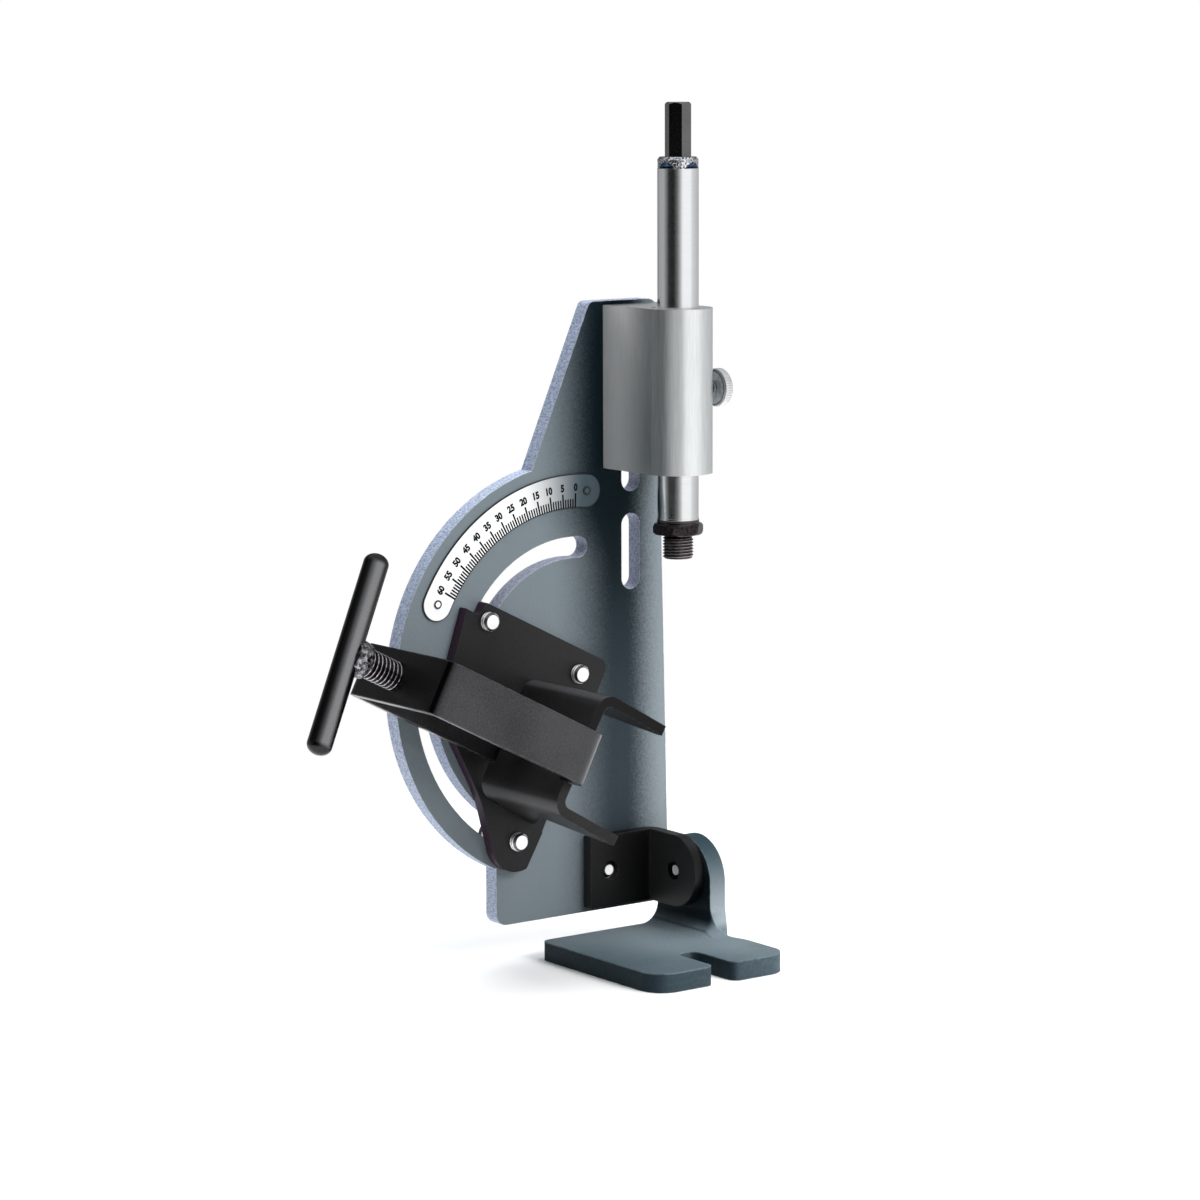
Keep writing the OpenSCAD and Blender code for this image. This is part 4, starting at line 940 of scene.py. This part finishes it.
# Weld: the bead of steel that joins the screw's end to the handle. It is uncoated and rippled, dark
# between its ridges, and reaches further along the bar than across it.
BEAD_LOW = HANDLE_Z - 8.3
BEAD_TALL = 7.1
BEAD_COLS = 96
n = Net("weld bead")
grit = n.noise(700.0, 4.0, 0.6)
tint = n.mix(n.step(grit, 0.42, 0.66), (0.045, 0.043, 0.047), (0.42, 0.42, 0.44))
gloss = n.math("ADD", n.math("MULTIPLY", grit, 0.25), 0.18)
weld_metal = n.finish(tint, 1.0, gloss, n.bump(grit, 0.08, 1.0))
a = angles(BEAD_COLS)
rows = [(BEAD_LOW, 5.6)]
# The radius: a barrel by height, a share along the bar, and two slanted ripples round the bead
for h in np.linspace(BEAD_LOW, BEAD_LOW + BEAD_TALL, 22):
    t = (h - BEAD_LOW) / BEAD_TALL
    body = 6.15 + 1.15 * math.sin(math.pi * (0.15 + 0.75 * t))
    along = 0.45 * np.cos(a - HANDLE_TURN) ** 2
    ripple = 0.22 * np.sin(11 * a + 5 * t + 1.5 * np.sin(3 * a)) * math.sin(math.pi * t)
    ripple = ripple + 0.16 * np.sin(7 * a - 9 * t + 2.0) * np.sin(5 * t + 2 * a)
    rows.append((h, np.clip(body + along + ripple, 5.2, 7.7)))
rows.append((BEAD_LOW + 7.3, 5.0))
verts, faces = turned(SCREW_BASE, AWAY, ACROSS, rows, BEAD_COLS)
made("weld_bead", verts, faces, weld_metal, "screw", replaces=("handle_weld",), slot="dark_steel")


# Stage: a pale floor round the object, and a studio wall by direction from it. The wall is bright to
# the camera's right and dark to its left, which bands the shaft; the camera itself sees white.
def lamp(name, place, target, size, tall, power):
    """A soft rectangular light that faces a target and keeps out of reflections."""
    data = bpy.data.lights.new(name, "AREA")
    data.shape = "RECTANGLE"
    data.size = size
    data.size_y = tall
    data.energy = power
    obj = bpy.data.objects.new(name, data)
    obj.location = place
    obj.rotation_mode = "QUATERNION"
    obj.rotation_quaternion = (Vector(target) - Vector(place)).to_track_quat("-Z", "Y")
    obj.visible_glossy = False
    bpy.context.scene.collection.objects.link(obj)


n = Net("paper")
place = n.coords.outputs["Object"]
shader = n.tree.nodes.new("ShaderNodeEmission")
lit = n.tree.nodes.new("ShaderNodeMixShader")
path = n.tree.nodes.new("ShaderNodeLightPath")
far = n.step(n.length(place), 0.16, 0.5)
n.put(lit.inputs[0], n.math("MULTIPLY", path.outputs["Is Camera Ray"], far))
n.put(lit.inputs[1], n.bsdf.outputs[0])
n.put(lit.inputs[2], shader.outputs[0])
n.finish((0.92, 0.92, 0.92), 0.0, 0.9, spec=0.0)
n.put(n.tree.nodes["Material Output"].inputs["Surface"], lit.outputs[0])
floor_r = 0.6
ring = [(floor_r * math.cos(t), floor_r * math.sin(t), 0.0) for t in angles(64)]
floor_mesh = bpy.data.meshes.new("floor")
floor_mesh.from_pydata(ring, [], [tuple(range(64))])
floor_mesh.materials.append(n.mat)
floor = bpy.data.objects.new("floor", floor_mesh)
bpy.context.scene.collection.objects.link(floor)

world = bpy.data.worlds.new("studio")
bpy.context.scene.world = world
world.use_nodes = True
tree = world.node_tree
tree.nodes.clear()


def wire(kind, inputs, **props):
    """A node in the world's tree, with its properties and with its inputs, each a socket or a constant."""
    node = tree.nodes.new(kind)
    for key, value in props.items():
        setattr(node, key, value)
    for key, value in inputs.items():
        if isinstance(value, bpy.types.NodeSocket):
            tree.links.new(value, node.inputs[key])
        else:
            node.inputs[key].default_value = value
    return node


def fade(value, low, high):
    """A smooth step from nought at one value to one at another."""
    inputs = {"Value": value, "From Min": low, "From Max": high}
    return wire("ShaderNodeMapRange", inputs, interpolation_type="SMOOTHSTEP").outputs[0]


# The wall's brightness by direction in degrees, counted from X towards Y
stops = [(-180, 0.02), (-150, 0.008), (-132, 0.11), (-118, 0.40), (-100, 1.0), (-60, 1.0), (-32, 0.66),
         (0, 0.54), (35, 0.42), (60, 0.46), (90, 0.24), (110, 0.38), (146, 0.40), (163, 0.20), (180, 0.02)]
split = wire("ShaderNodeSeparateXYZ", {0: wire("ShaderNodeTexCoord", {}).outputs["Generated"]}).outputs
azimuth = wire("ShaderNodeMath", {0: split[1], 1: split[0]}, operation="ARCTAN2").outputs[0]
share = wire("ShaderNodeMapRange", {"Value": azimuth, "From Min": -math.pi, "From Max": math.pi})
walls = wire("ShaderNodeValToRGB", {0: share.outputs[0]})
ramp = walls.color_ramp
ramp.interpolation = "EASE"
ramp.elements.remove(ramp.elements[0])
ramp.elements[0].position = 0.0
ramp.elements[0].color = (stops[0][1],) * 3 + (1,)
for degree, value in stops[1:]:
    ramp.elements.new((degree + 180) / 360).color = (value,) * 3 + (1,)
# A dark flag hangs high behind the object, and above it all is an even roof
flag = wire("ShaderNodeMath", {0: fade(split[1], 0.1, 0.4), 1: fade(split[2], 0.25, 0.40)},
            operation="MULTIPLY").outputs[0]
shaded = wire("ShaderNodeMix", {0: flag, 6: walls.outputs[0], 7: (0.03, 0.03, 0.03, 1)}, data_type="RGBA")
roof = wire("ShaderNodeMix", {0: fade(split[2], 0.45, 0.9), 6: shaded.outputs[2], 7: (0.75, 0.77, 0.78, 1)},
            data_type="RGBA").outputs[2]
studio = wire("ShaderNodeBackground", {"Color": roof, "Strength": 1.15}).outputs[0]
white = wire("ShaderNodeBackground", {"Color": (1, 1, 1, 1)}).outputs[0]
seen = wire("ShaderNodeLightPath", {}).outputs["Is Camera Ray"]
backdrop = wire("ShaderNodeMixShader", {0: seen, 1: studio, 2: white}).outputs[0]
wire("ShaderNodeOutputWorld", {"Surface": backdrop})

aim = (-0.02, 0.0, 0.17)
lamp("key", (0.45, -1.65, 1.1), aim, 0.8, 0.8, 24.0)
lamp("top", (0.1, -0.1, 1.7), aim, 1.2, 1.2, 17.0)
lamp("back wash", (0.5, 1.2, 1.2), aim, 1.2, 1.2, 14.0)


# Camera: a long lens, turned to the plate's left, a little above the middle and rolled a hair. Its yaw,
# pitch and roll are in radians.
lens = bpy.data.cameras.new("camera")
lens.lens = 119.96
lens.sensor_width = 36.0
lens.clip_start = 0.1
lens.clip_end = 30.0
camera = bpy.data.objects.new("camera", lens)
yaw = -0.64007753
pitch = 0.14390083
roll = -0.00304286
right = Vector((math.cos(yaw), math.sin(yaw), 0.0))
ahead = Vector((-math.sin(yaw) * math.cos(pitch), math.cos(yaw) * math.cos(pitch), -math.sin(pitch)))
turn = Matrix((right, right.cross(ahead), -ahead)).transposed().to_4x4()
stand = Matrix.Translation((-1.0041, -1.2943, 0.3878))
camera.matrix_world = stand @ turn @ Matrix.Rotation(roll, 4, "Z")
bpy.context.scene.collection.objects.link(camera)
bpy.context.scene.camera = camera
bpy.context.scene.view_settings.view_transform = "Standard"
